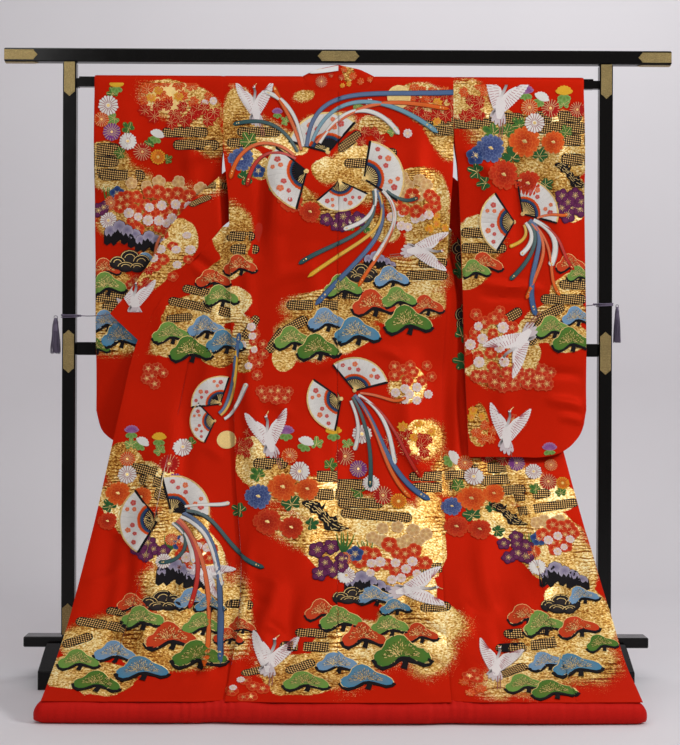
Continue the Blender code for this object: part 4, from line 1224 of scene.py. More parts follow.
def trunk(rim: Colour, heart: Colour) -> Motif:
    """An old leaning trunk, black with gold bark lines."""
    m = Motif()
    t = np.linspace(0.0, 1.0, 26)
    line = np.stack([mix(-0.95, 1.0, t), 0.62 - 1.25 * t + 0.16 * np.sin(7.0 * t)], axis=1)

    def half(s: float) -> float:
        """Half width along the trunk."""
        return (0.26 + 0.10 * math.sin(11.0 * s) + 0.06 * math.sin(31.0 * s)) * math.sin(math.pi * (0.06 + 0.9 * s))

    m.band(line, half, rim, heart)
    m.band([(-0.30, 0.25), (-0.10, 0.42), (0.02, 0.62)], lambda s: 0.12 * (1.02 - s), rim, heart)
    m.band([(0.10, -0.10), (0.34, -0.06), (0.52, 0.08)], lambda s: 0.11 * (1.02 - s), rim, heart)
    for side in (-0.55, 0.05, 0.60):
        for i in range(2, 23):
            if (i * 7 + int(side * 10)) % 5:
                a, b = (line[k] + np.array([0.45, 0.85]) * side * half(t[k]) * (1 + 0.3 * math.sin(3.0 * k))
                        for k in (i, i + 1))
                m.stroke(a, b, 0.032, 0.0005)
    return m


def moon(rim: Colour, heart: Colour) -> Motif:
    """A plain gold disc."""
    m = Motif()
    m.patch(arc((0, 0), 1.0, 0, 348, 30), rim, heart, rings=2, thread=Thread.GOLD)
    return m


def bar(ratio: float) -> Motif:
    """A mist bar with round ends, its half length a number of times its half height."""
    m = Motif()
    ends = 1.0 - np.cos(np.linspace(0, math.pi / 2, 5))
    line = [-ratio + e for e in ends]
    line += list(np.linspace(-ratio + 1.0, ratio - 1.0, max(2, round(ratio)))[1:-1])
    line += [ratio - e for e in reversed(ends)]
    run = 2 * ratio

    def half(share: float) -> float:
        """Half height at a share of the bar."""
        near = min(share * run, (1 - share) * run, 1.0)
        return max(math.sqrt(max(1.0 - (1.0 - near) ** 2, 0.0)), 0.02)

    m.band([(x, 0.0) for x in line], half, BLACK, level=0.0, dome=0.0)
    m.band([(x * (1 - 0.12 / ratio), 0.0) for x in line], lambda s: 0.88 * half(s), FOIL, level=0.00045, dome=0.0001,
           thread=Thread.LATTICE)
    return m


def folding_fan(rim: Colour, heart: Colour, spread: float = 112.0) -> Motif:
    """An open folding fan: a pleated leaf edged with gold, painted with blossoms, on black and gold sticks."""
    m = Motif()
    folds = 12
    step = spread / folds
    half = math.radians(step / 2)
    # Each pleat of the leaf runs from the grey heart at its root to the white rim at its tip; the grey is painted shade
    # of the pleats.
    bands = ((0.50, 0.97, rim, heart, 5), (0.43, 0.51, ORANGE, SCARLET, 2), (0.36, 0.44, TEAL, DEEP_BLUE, 2))
    for i in range(folds):
        angle = -spread / 2 + step * (i + 0.5)
        for low, high, dye, inner, parts in bands:
            line = turned_by([(0.0, low + (high - low) * k / parts) for k in range(parts + 1)], angle)
            m.band(line, lambda s, a=low, b=high: 0.98 * half * mix(a, b, s), inner, dye, 0.0003, 0.0009)
        tip = turned_by([(-0.98 * half, 0.985), (0.98 * half, 0.985)], angle)
        m.stroke(tip[0], tip[1], 0.045, 0.00110)
        m.spoke(angle, 0.04, 0.40, 0.050, 0.0003, BLACK, Thread.FLOSS)
        m.spoke(angle, 0.04, 0.34, 0.016, 0.0006)
    painted = ((-40, 0.78, 0.085, SCARLET), (-30, 0.66, 0.065, ORANGE), (-24, 0.84, 0.060, ORANGE),
               (8, 0.64, 0.070, SCARLET), (17, 0.80, 0.085, ORANGE), (30, 0.68, 0.060, SCARLET),
               (42, 0.84, 0.065, SCARLET))
    for angle, reach, size, dye in painted:
        x, y = turned_by([(0.0, reach)], angle)[0]
        for k in range(5):
            outline = [(x + size * px, y + size * py) for px, py in petal(72 * k, 0.05, 1.0, 0.95)]
            m.patch(outline, paler(dye, 0.25), dye, 0.0013)
    for sign in (-1, 1):
        guard = turned_by([(0, y) for y in (-0.05, 0.2, 0.4, 0.6, 0.8, 1.0)], sign * (spread / 2 + 1.2))
        m.band(guard, lambda s: 0.020 + 0.012 * s, BLACK, level=0.0010)
    m.knot((0, 0), 0.06, 0.0013, 8)
    return m


def crane(rim: Colour, heart: Colour) -> Motif:
    """A crane in flight, its two long wings worked feather by feather."""
    m = Motif()
    line = (0.42, 0.10, 0.12)
    for angle, reach in ((158, 0.66), (146, 0.60), (170, 0.70), (134, 0.50), (182, 0.62)):
        m.patch(petal(angle, 0.0, reach, 0.13), paler(heart, 0.3), heart if angle > 140 else BLACK, grain=angle)
    for x in (-0.06, 0.02):
        m.stroke((x, -0.45), (x - 0.14, -1.02), 0.026, 0.0006, (0.35, 0.12, 0.10), Thread.FLOSS)
    for side, lean in ((1, 14.0), (-1, -60.0)):
        for low, high, count, level, long in ((104.0, 6.0, 15, 0.0002, 1.0), (96.0, 22.0, 10, 0.0005, 0.55)):
            for k in range(count):
                t = k / (count - 1)
                root = np.array([0.02 + 0.10 * math.sin(2.6 * t), 0.04 + 0.62 * t])
                angle = mix(low, high, t ** 1.3)
                feather = petal(angle, 0.0, mix(0.30, 0.46, t) * long, 0.110) + root
                rib = turned_by([(0.050, 0.08 * long), (0.040, mix(0.26, 0.42, t) * long)], angle) + root
                feather, rib = feather * [side, 1.0], rib * [side, 1.0]
                outline = turned_by(feather if side > 0 else feather[::-1], lean)
                m.patch(outline, rim, rim, level, grain=angle * side + lean, dome=0.0002)
                a, b = turned_by(rib, lean)
                m.stroke(a, b, 0.014, level + 0.00030, line, Thread.FLOSS)
        arm = turned_by(np.array([(0.04, 0.0), (0.10, 0.22), (0.13, 0.44), (0.10, 0.66)]) * [side, 1.0], lean)
        m.band(arm, lambda s: 0.070 * (1.0 - 0.6 * s), rim, rim, 0.0008)
    m.band([(-0.12, -0.44), (-0.05, -0.20), (0.0, 0.0), (0.03, 0.20)], lambda s: 0.06 + 0.09 * math.sin(2.6 * s), rim,
           level=0.0008)
    neck = [(0.02, 0.14), (0.06, 0.26), (0.16, 0.38), (0.24, 0.52), (0.26, 0.66)]
    m.band(neck, lambda s: 0.055 - 0.022 * s, rim, (0.10, 0.08, 0.08), 0.0009)
    m.knot((0.27, 0.68), 0.050, 0.0010, dye=rim, thread=Thread.FLOSS)
    m.knot((0.26, 0.71), 0.026, 0.0013, dye=SCARLET, thread=Thread.FLOSS)
    m.stroke((0.29, 0.69), (0.42, 0.78), 0.026, 0.0010, CREAM)
    return m


class Pattern(Enum):
    """Every motif that the cloth carries: what draws it, its two colours, and what else it needs."""

    MOON = (moon, FOIL, FOIL)
    RED_MAPLE = (maple, (0.50, 0.012, 0.006), (0.40, 0.008, 0.006))
    ORANGE_MAPLE = (maple, (0.72, 0.10, 0.015), (0.56, 0.03, 0.008))
    YELLOW_MAPLE = (maple, YELLOW, ORANGE)
    ORANGE_BLOOM = (chrysanthemum, (0.66, 0.060, 0.008), (0.44, 0.018, 0.005), (0.76, 0.17, 0.03))
    RED_BLOOM = (chrysanthemum, (0.52, 0.020, 0.006), (0.30, 0.007, 0.004), (0.62, 0.075, 0.02))
    BLUE_BLOOM = (chrysanthemum, (0.045, 0.070, 0.210), DEEP_BLUE, (0.16, 0.21, 0.38))
    WHITE_DAISY = (daisy, WHITE, WHITE, CRIMSON)
    RED_DAISY = (daisy, SCARLET, CRIMSON, CREAM)
    ORANGE_DAISY = (daisy, ORANGE, SCARLET, CREAM)
    PURPLE_DAISY = (daisy, PURPLE, PURPLE, CREAM)
    YELLOW_DAISY = (daisy, YELLOW, ORANGE, CRIMSON)
    YELLOW_BUD = (side_bloom, YELLOW, YELLOW)
    WHITE_BUD = (side_bloom, WHITE, WHITE)
    PURPLE_BUD = (side_bloom, (0.40, 0.20, 0.36), PURPLE)
    RED_PLUM = (blossom, (0.70, 0.10, 0.025), (0.54, 0.018, 0.006))
    BEIGE_PLUM = (blossom, (0.80, 0.56, 0.30), (0.58, 0.30, 0.10))
    WHITE_CHERRY = (blossom, (0.84, 0.80, 0.78), (0.72, 0.50, 0.46), 0.20)
    RED_CHERRY = (blossom, (0.64, 0.11, 0.035), (0.50, 0.013, 0.006), 0.20)
    BLUE_BELL = (blossom, BLUE, DEEP_BLUE, -0.12)
    DARK_IRIS = (blossom, PLUM, (0.16, 0.03, 0.10), -0.12)
    LEAVES = (leaves, GREEN, DEEP_GREEN)
    DARK_LEAVES = (leaves, (0.035, 0.120, 0.035), DEEP_GREEN)
    PALE_LEAVES = (leaves, PALE_GREEN, GREEN)
    BLADES = (blades, GREEN, DEEP_GREEN)
    GREEN_PINE = (pine, (0.060, 0.190, 0.030), (0.150, 0.190, 0.030))
    PALE_PINE = (pine, (0.150, 0.330, 0.060), (0.230, 0.260, 0.070))
    BLUE_PINE = (pine, (0.060, 0.240, 0.400), (0.200, 0.230, 0.240))
    SKY_PINE = (pine, (0.160, 0.330, 0.540), (0.260, 0.300, 0.340))
    RED_PINE = (pine, (0.620, 0.050, 0.015), (0.520, 0.070, 0.015))
    LILAC_ROCK = (cliff, (0.42, 0.37, 0.47), (0.19, 0.16, 0.26))
    BLACK_ROCK = (rock, BLACK, (0.035, 0.028, 0.028))
    TRUNK = (trunk, BLACK, BLACK)
    SHORT_BAR = (bar, 3.0)
    BAR = (bar, 4.5)
    LONG_BAR = (bar, 7.0)
    # The fan's second colour is its white greyed, laid at the root of every pleat: painted shade of the pleats.
    FAN = (folding_fan, WHITE, (0.64, 0.61, 0.58))
    CRANE = (crane, (0.82, 0.76, 0.74), (0.60, 0.50, 0.52))


# ---------------------------------------------------------------- the pictures
class Spray(NamedTuple):
    """Motifs of one kind round a place on the cloth, in millimetres; layer says what lies over what."""

    pattern: Pattern
    size: float                   # half its width
    x: float
    z: float
    layer: int = 3
    turn: float = 0.0
    count: int = 1
    reach_x: float = 0.0
    reach_z: float = 0.0


class Ribbon(NamedTuple):
    """A streamer from one place to another, pulled out of line by two more."""

    dye: Colour
    width: float
    x0: float
    z0: float
    x1: float
    z1: float
    x2: float
    z2: float
    x3: float
    z3: float


class Foil(NamedTuple):
    """An oval of gold foil, whose right end lies higher than its middle by its climb."""

    x: float
    z: float
    half_width: float
    half_height: float
    climb: float = 0.0


class Crease(NamedTuple):
    """A soft ridge, or with a negative rise a trough, between two places on a panel."""

    x0: float
    z0: float
    x1: float
    z1: float
    width: float
    rise: float


def bars(size: float, *places: Sequence[float]) -> tuple[tuple[float, ...], ...]:
    """Rows of mist bars of one size in the lowest layer, each at an x, a height and perhaps a turn."""
    return tuple((size, x, z, 1, *turn) for x, z, *turn in places)


Sprays = dict[Pattern, tuple[tuple[float, ...], ...]]
P = Pattern                       # short, for the tables below
# Each spray's row is half its width, x, height, layer, then its turn, and how many lie in what reach.

BODY_SPRAYS: Sprays = {
    P.MOON: ((32, 164, 1577, 4), (26, -292, 650)),
    P.TRUNK: ((62, -32, 458, 5), (50, 445, 460, 5), (38, -500, 455, 4)),
    P.RED_MAPLE: ((22.4, 250, 1555, 2, 0, 13, 70, 40), (20.2, 85, 1462, 3, 0, 5, 35, 30),
        (19, 190, 640, 3, 0, 12, 60, 45), (17.9, -245, 640, 3, 0, 6, 18, 40)),
    P.ORANGE_MAPLE: ((19.8, 220, 1590, 3, 0, 7, 70, 25), (17.6, -285, 1605, 2), (17.6, 310, 78, 3, 0, 3, 30, 12)),
    P.YELLOW_MAPLE: ((17, 275, 1535, 4, 0, 2, 30, 30), (17, 262, 1205, 3, 0, 5, 25, 50),
        (16, 205, 680, 4, 0, 4, 45, 20)),
    P.BAR: (*bars(13.2, (275, 1515), (-215, 1480), (75, 1395)), *bars(12.5, (240, 1092)),
        *bars(13.2, (15, 1040)), *bars(15.2, (-30, 560), (20, 538), (-15, 514)),
        *bars(13.2, (60, 492), (245, 560), (250, 532), (-45, 190), (-360, 1045, -12)),
        *bars(14.5, (-495, 572, -8)), *bars(13.2, (-520, 228, -9)), *bars(14.5, (420, 578, 4),
        (440, 548, 4)), *bars(13.2, (505, 508, 7), (300, 560), (470, 190, 9))),
    P.SHORT_BAR: (*bars(13.2, (295, 1486), (-262, 1450), (30, 1455, 40), (120, 1425), (255, 1125), (-262, 1195),
        (-250, 1160), (-115, 955, 32), (-165, 915, 55)), *bars(11.9, (-232, 950, 60)),
        *bars(15.2, (-175, 592)), *bars(13.2, (-90, 118, 28), (-195, 110, 20), (245, 245),
        (235, 335)), *bars(11.9, (-245, 250), (-425, 975, 8)), *bars(14.5, (-475, 545, -8),
        (-470, 515, -8)), *bars(13.2, (-640, 168, 24)), *bars(14.5, (455, 520, 6)),
        *bars(13.2, (425, 110, 30))),
    P.CRANE: ((78, -225, 1545, 5, 25), (80, 222, 1160, 5, -70), (85, -180, 655, 5, 30), (90, 185, 285, 5, -62),
        (88, -165, 130, 5, 12), (70, -335, 320, 5, -95), (82, 385, 118, 5, 8)),
    P.BLUE_BLOOM: ((36, -262, 1405), (36, -205, 508), (30, 298, 482)),
    P.LEAVES: ((32, -240, 1452, 2, 30), (20, 60, 1225, 3, 0, 2, 30, 10), (28, -205, 560, 2, 40),
        (24, -20, 585, 2, -20), (26, 60, 520, 2, 70), (24, -385, 640, 2, 60), (26, 320, 530, 3, 30),
        (22, 525, 522, 3, 50), (20, 592, 512, 3, 10)),
    # The first three rows, at 336 to 342 mm, lie in the gap between the back and the right sleeve. They are partly the
    # front's own leaves there and partly painted shade standing for the shadow in that gap.
    P.DARK_LEAVES: ((36, 342, 1105, 4, 30), (34, 336, 930, 4, -40), (32, 340, 860, 4, 80), (30, -255, 1352, 2, -60),
        (28, -165, 1330, 2, 60), (34, -118, 488, 3, 20), (28, -250, 470, 2, 60), (24, -70, 440, 3, -70),
        (26, -590, 478, 3, 40), (24, -545, 470, 3, -40), (34, 352, 458, 3, 20), (24, 412, 420, 3, -80),
        (24, 405, 475, 3, 10)),
    P.BLUE_BELL: ((18, -215, 1372, 4), (21, 45, 368, 5), (19, -405, 392, 4), (21, 520, 402, 4)),
    P.FAN: ((111, -28, 1425, 4, 16), (108, -85, 1372, 5, 108), (108, 70, 1352, 5, -66), (82, 5, 1345, 6, 188),
        (91, 45, 782, 4, -18), (91, 10, 760, 5, 112), (76, -312, 745, 4, 40), (66, -325, 700, 4, 100),
        (99, -430, 470, 5, -42), (102, -462, 448, 6, 96)),
    P.PALE_LEAVES: ((22, 150, 1480, 3, 20), (20, 52, 1548, 3, -30), (18, -140, 1508, 3, 50), (24, -55, 640, 2),
        (22, 30, 638, 2, 50), (24, -545, 635, 2), (22, -465, 620, 2, 30)),
    P.WHITE_CHERRY: ((13.1, 188, 1478, 4), (12.3, 85, 1560, 4), (11.5, 45, 1243, 4, 0, 2, 20, 10),
        (12.3, 195, 1245, 4, 0, 7, 60, 25), (10.7, -240, 905, 4, 0, 5, 20, 60), (13.9, 205, 775, 4, 0, 7, 55, 20),
        (13.1, 140, 330, 5, 0, 9, 85, 26), (11.5, -240, 85, 4, 0, 2, 20, 10), (13.1, -365, 382, 5, 0, 5, 40, 30),
        (12.3, 575, 390, 5, 0, 5, 40, 25)),
    P.PURPLE_BUD: ((16, -165, 1530, 4), (24, -135, 668), (22, -545, 668)),
    P.RED_BLOOM: ((36, -128, 1295), (30, -75, 1262, 4), (38, -180, 445, 4), (33, -118, 432, 5), (26, -595, 442, 4),
        (34, 308, 432, 4), (32, 368, 425, 5)),
    P.DARK_IRIS: ((19, 10, 1238, 4, 0, 5, 45, 18), (20, -28, 352, 5, 0, 7, 40, 35),
        (19, -478, 375, 4, 0, 5, 35, 18), (20, 460, 375, 4, 0, 7, 35, 32)),
    P.BEIGE_PLUM: ((18, 185, 1330, 3, 0, 7, 55, 30), (18, 150, 412, 3, 0, 10, 85, 25),
        (17, 552, 440, 3, 0, 5, 35, 14)),
    P.RED_PLUM: ((19, 215, 1285, 4, 0, 8, 60, 30), (16, 195, 830, 3, 0, 9, 60, 30),
        (19, 145, 358, 4, 0, 15, 90, 34), (16, -215, 75, 3, 0, 6, 40, 16), (17, -360, 372, 4, 0, 9, 45, 30),
        (18, 575, 405, 4, 0, 10, 45, 32), (16, 330, 100, 3, 0, 3, 20, 10)),
    P.RED_PINE: ((44, -262, 1118), (58, 98, 1018, 4), (44, 240, 1012, 4), (44, -35, 240), (54, 65, 186, 4),
        (42, 205, 190, 4), (34, -235, 205), (46, -335, 1082), (40, -510, 252), (62, -408, 180, 5),
        (36, -268, 180, 4), (44, 470, 228), (52, 598, 200, 5, 10)),
    P.LONG_BAR: bars(13.2, (-45, 1010), (100, 462, -4), (-50, 160), (-365, 1005, -12), (-560, 200, -9),
        (545, 478, 9), (480, 160, 8)),
    P.LILAC_ROCK: ((42, 112, 1128, 2), (60, 78, 295), (62, -395, 318), (62, 575, 312)),
    # The first two rows, at 336 and 338 mm, lie in the gap between the back and the right sleeve. They are partly the
    # front's own pattern and partly painted shade standing for the shadow in that gap.
    P.BLACK_ROCK: ((46, 336, 1168, 3, 80), (40, 338, 985, 3, 70), (46, 60, 1098, 2), (50, 35, 272, 4),
        (52, -440, 258, 4), (52, 560, 250, 4)),
    P.SKY_PINE: ((46, 145, 1088), (50, -28, 972), (48, 95, 272, 4), (50, 0, 128), (50, -352, 952, 4),
        (48, -358, 262, 4), (52, -540, 145, 4, -6), (40, 620, 268, 4, 10), (48, 510, 128, 4, 8)),
    P.PALE_PINE: ((50, 15, 1062, 4), (46, 165, 1032, 5), (50, -118, 922), (52, 10, 222, 4), (46, 130, 208, 4),
        (54, -75, 92, 4), (46, -312, 1035, 4), (50, -445, 935, 4), (52, -482, 222, 5), (48, -335, 205, 5),
        (50, -628, 128, 4), (52, 512, 208, 4, 6), (50, 450, 86, 4, 4)),
    P.GREEN_PINE: ((62, 190, 972, 5), (56, -50, 898, 4), (68, 158, 150, 5), (56, -392, 892, 5), (66, -335, 140, 6),
        (56, -572, 88, 5, -8), (40, 652, 165, 4, 8), (54, 515, 76, 5, 4)),
    P.BLUE_PINE: ((60, 52, 942, 4), (38, 145, 248, 5), (62, 70, 98, 4), (50, -300, 912, 5), (38, -318, 248, 5),
        (62, -470, 112, 5), (60, 580, 120, 5, 8)),
    P.RED_CHERRY: ((16, -165, 775, 3, 0, 7, 40, 22), (14, -215, 880, 3, 0, 9, 20, 60),
        (16, -488, 822, 3, 0, 6, 25, 25)),
    P.WHITE_BUD: ((24, -85, 640, 4, -20), (22, -518, 638, 4, -30), (26, 300, 600, 3, -60)),
    P.YELLOW_BUD: ((24, -10, 668), (22, -470, 650), (22, -365, 672, 3, 10)),
    P.WHITE_DAISY: ((27, 65, 668), (27, -98, 572, 5), (23, 88, 542, 4), (24, 22, 318, 5), (26, -408, 632, 4),
        (26, -550, 560, 5), (21, -442, 348, 5), (27, 362, 555, 5), (23, 522, 568, 4), (23, 510, 335, 5)),
    P.RED_DAISY: ((26, 20, 610), (26, 118, 512, 4), (26, -440, 590, 4), (22, 400, 610), (22, 445, 602),
        (24, 560, 542, 4)),
    P.ORANGE_DAISY: ((22, -125, 612, 4), (18, 22, 358, 5), (22, -552, 600, 4), (18, -425, 400, 4),
        (22, 340, 590, 4), (18, 570, 585, 4), (19, 505, 372, 4)),
    P.PURPLE_DAISY: ((24, 55, 578, 4), (22, -425, 545, 4), (23, 478, 590, 4)),
    P.YELLOW_DAISY: ((22, 158, 497, 5), (19, 598, 538, 4)),
    P.ORANGE_BLOOM: ((40, -142, 532, 4), (32, -78, 528, 4), (34, -572, 512, 4), (29, -508, 505, 4),
        (40, 352, 500, 4), (32, 412, 512, 4)),
    P.BLADES: ((55, 15, 372, 2), (48, 75, 360, 2, 12), (45, -430, 372, 2), (50, 500, 375, 2)),
}
BODY_RIBBONS = millimetres(Ribbon,
    (BLUE, 7.5, -85, 1440, -70, 1640, 120, 1560, 420, 1600), (SKY, 6.5, -70, 1455, -20, 1600, 130, 1590, 270, 1480),
    (ORANGE, 6, -60, 1450, 60, 1600, 190, 1560, 300, 1545), (WHITE, 6.5, -50, 1450, 10, 1570, 110, 1560, 165, 1475),
    (WHITE, 6, -95, 1440, -110, 1530, -140, 1570, -200, 1590),
    (ORANGE, 6, -100, 1430, -120, 1520, -160, 1560, -175, 1605),
    (TEAL, 5.5, -110, 1425, -150, 1510, -210, 1520, -285, 1500),
    (ORANGE, 6, -120, 1415, -190, 1480, -270, 1450, -290, 1350),
    (SCARLET, 5.5, -115, 1405, -180, 1440, -230, 1420, -245, 1330),
    (BLUE, 7, 105, 1320, 160, 1200, 60, 1150, -60, 1010), (TEAL, 6, 95, 1320, 120, 1190, -10, 1190, -105, 1120),
    (YELLOW, 5.5, 110, 1315, 150, 1200, 50, 1190, -80, 1085), (WHITE, 6.5, 120, 1320, 190, 1250, 130, 1190, 95, 1130),
    (WHITE, 6, 100, 1325, 110, 1250, 60, 1230, 15, 1215), (ORANGE, 5, 125, 1315, 200, 1230, 100, 1150, 55, 1060),
    (TEAL, 5, 130, 1320, 170, 1290, 190, 1290, 215, 1300), (BLUE, 7, 45, 770, 120, 690, 120, 560, 240, 500),
    (TEAL, 5.5, 40, 765, 90, 680, 90, 600, 85, 530), (ORANGE, 5.5, 50, 765, 120, 680, 110, 580, 190, 505),
    (WHITE, 6, 55, 770, 130, 730, 140, 660, 150, 590), (WHITE, 5.5, 35, 755, 60, 700, 60, 670, 45, 625),
    (ORANGE, 4.5, 60, 775, 130, 770, 150, 740, 180, 765), (SCARLET, 4.5, 60, 765, 150, 720, 170, 620, 215, 560),
    (BLUE, 7.5, -400, 465, -290, 430, -290, 260, -285, 120), (TEAL, 6, -390, 470, -300, 470, -290, 360, -185, 335),
    (WHITE, 7, -405, 455, -320, 430, -320, 360, -290, 290), (ORANGE, 6.5, -410, 450, -340, 400, -310, 260, -320, 120),
    (SCARLET, 6, -415, 445, -350, 400, -340, 330, -370, 240), (WHITE, 5.5, -425, 440, -380, 410, -370, 380, -365, 345),
    (TEAL, 5.5, -420, 440, -360, 400, -390, 340, -455, 345), (WHITE, 5.5, -395, 480, -340, 490, -310, 480, -280, 490),
    (BLUE, 6, -315, 720, -280, 740, -275, 850, -262, 935), (YELLOW, 5, -310, 715, -275, 740, -270, 820, -270, 890),
    (WHITE, 5.5, -300, 705, -270, 720, -255, 770, -240, 800))
BODY_FOIL = millimetres(Foil,
    (-268, 1510, 52, 110), (-190, 1470, 60, 45, -20), (-235, 1400, 65, 50, -30), (-120, 1320, 70, 38, -36),
    (-40, 1265, 70, 30, -18), (50, 1400, 65, 62), (-30, 1375, 50, 40), (-140, 1450, 70, 40, -14),
    (-20, 1500, 85, 42, 8), (100, 1500, 60, 36), (-90, 1580, 50, 24, 8), (60, 1330, 60, 40, -20),
    (255, 1550, 115, 62, -40), (285, 1480, 60, 70, -30), (215, 1300, 92, 95), (245, 1205, 70, 110),
    (120, 1215, 60, 40, -10), (-285, 1200, 62, 85), (-290, 1110, 85, 40, 22), (150, 1085, 150, 52, -6),
    (20, 1010, 180, 62, 14), (-80, 925, 100, 70, 8), (180, 1010, 120, 55, 10), (20, 920, 110, 42, 26),
    (-145, 870, 40, 45), (-250, 900, 42, 90), (190, 800, 55, 60), (225, 660, 62, 55), (-225, 600, 50, 75),
    (-150, 545, 90, 50), (-40, 500, 130, 62, -36), (90, 455, 110, 60, -10), (-90, 420, 100, 42, -36),
    (40, 380, 100, 60, -48), (-30, 365, 70, 50, -38), (70, 320, 80, 50, -30), (175, 400, 90, 95),
    (160, 300, 100, 75, -20), (240, 420, 50, 120), (200, 210, 120, 70), (60, 165, 150, 58, 18),
    (-60, 110, 160, 48, 16), (230, 150, 60, 50, 10), (-250, 225, 45, 90), (-350, 1000, 140, 62, 30),
    (-400, 910, 130, 48, 20), (-320, 880, 60, 45, -8), (-565, 590, 60, 60), (-500, 540, 110, 60, -20),
    (-600, 500, 50, 34, -12), (-560, 455, 60, 48, -34), (-470, 400, 90, 62, -58), (-400, 440, 80, 60),
    (-365, 350, 90, 90, -10), (-420, 270, 75, 60, -36), (-340, 270, 70, 90), (-560, 175, 150, 52, 18),
    (-420, 160, 150, 62), (-640, 110, 90, 42, 6), (-560, 95, 110, 36), (300, 560, 50, 60), (420, 545, 130, 62, -16),
    (540, 510, 110, 55, -14), (440, 440, 120, 60, -52), (560, 430, 90, 60, -30), (520, 360, 90, 62, -52),
    (600, 330, 70, 90), (590, 250, 80, 60), (640, 215, 60, 70), (560, 170, 130, 55, 14), (480, 110, 110, 42, 12),
    (610, 130, 80, 45), (400, 90, 60, 30, 14))

LEFT_SPRAYS: Sprays = {
    P.MOON: ((46, -458, 1575, 2),),
    P.ORANGE_MAPLE: ((20.9, -440, 1580, 3, 0, 12, 95, 35),),
    P.RED_MAPLE: ((22.4, -430, 1530, 4, 0, 14, 100, 28),),
    P.YELLOW_MAPLE: ((18, -470, 1575, 4, 0, 3, 60, 20),),
    P.WHITE_CHERRY: ((11.5, -355, 1565, 4, 0, 2, 20, 20), (13.9, -470, 1262, 5, 0, 11, 115, 32)),
    P.BAR: bars(13.9, (-415, 1478), (-385, 1444), (-585, 1362), (-600, 1032), (-575, 1004)),
    P.YELLOW_BUD: ((22, -600, 1600, 4),),
    P.LEAVES: ((22, -610, 1580, 2, 20), (24, -565, 1485, 3, 40), (22, -585, 1420, 3, 80), (20, -510, 1445),
        (18, -465, 1405, 3, -60)),
    P.WHITE_DAISY: ((28, -622, 1550, 4), (24, -568, 1452, 5), (24, -622, 1240, 4)),
    P.PALE_LEAVES: ((24, -605, 1515, 3, 120),),
    P.ORANGE_DAISY: ((21, -640, 1512, 4), (20, -615, 1288, 4)),
    P.PURPLE_DAISY: ((25, -612, 1478, 4),),
    P.RED_DAISY: ((25, -530, 1425, 4),),
    P.YELLOW_DAISY: ((21, -488, 1412, 5),),
    P.WHITE_BUD: ((22, -492, 1465, 4, -20),),
    P.SHORT_BAR: (*bars(17.8, (-640, 1430)), *bars(13.9, (-635, 1398), (-635, 1366))),
    P.BEIGE_PLUM: ((18, -480, 1330, 3, 0, 8, 110, 18),),
    P.RED_PLUM: ((19, -480, 1285, 4, 0, 20, 120, 38), (17, -500, 1225, 3, 0, 9, 110, 18)),
    P.BLADES: ((50, -620, 1280, 2),),
    P.BLUE_BELL: ((20, -598, 1312, 4),),
    P.DARK_IRIS: ((18, -640, 1268, 4, 0, 2, 10, 10),),
    P.LILAC_ROCK: ((58, -575, 1200, 4), (50, -498, 1178, 5)),
    P.BLACK_ROCK: ((55, -565, 1130, 5),),
    P.SKY_PINE: ((40, -515, 1128), (46, -622, 968, 4)),
    P.RED_PINE: ((40, -628, 1112),),
    P.PALE_PINE: ((50, -622, 1068, 5),),
    P.RED_CHERRY: ((15, -540, 1060, 3, 0, 4, 30, 20),),
    P.BLUE_PINE: ((52, -585, 928, 5),),
    P.CRANE: ((64, -540, 985, 6, 40),),
    P.GREEN_PINE: ((36, -650, 900, 4),),
}
LEFT_RIBBONS = millimetres(Ribbon,
    (ORANGE, 6.5, -480, 1200, -500, 1170, -495, 1120, -492, 1075))
LEFT_FOIL = millimetres(Foil,
    (-420, 1560, 115, 62, -26), (-370, 1480, 70, 62, -40), (-640, 1400, 80, 60), (-590, 1350, 100, 45, -12),
    (-500, 1310, 120, 45), (-430, 1270, 110, 50, 10), (-560, 1230, 110, 55), (-480, 1200, 110, 60, -16),
    (-620, 1060, 70, 60), (-580, 980, 110, 75, 14), (-600, 905, 80, 34))

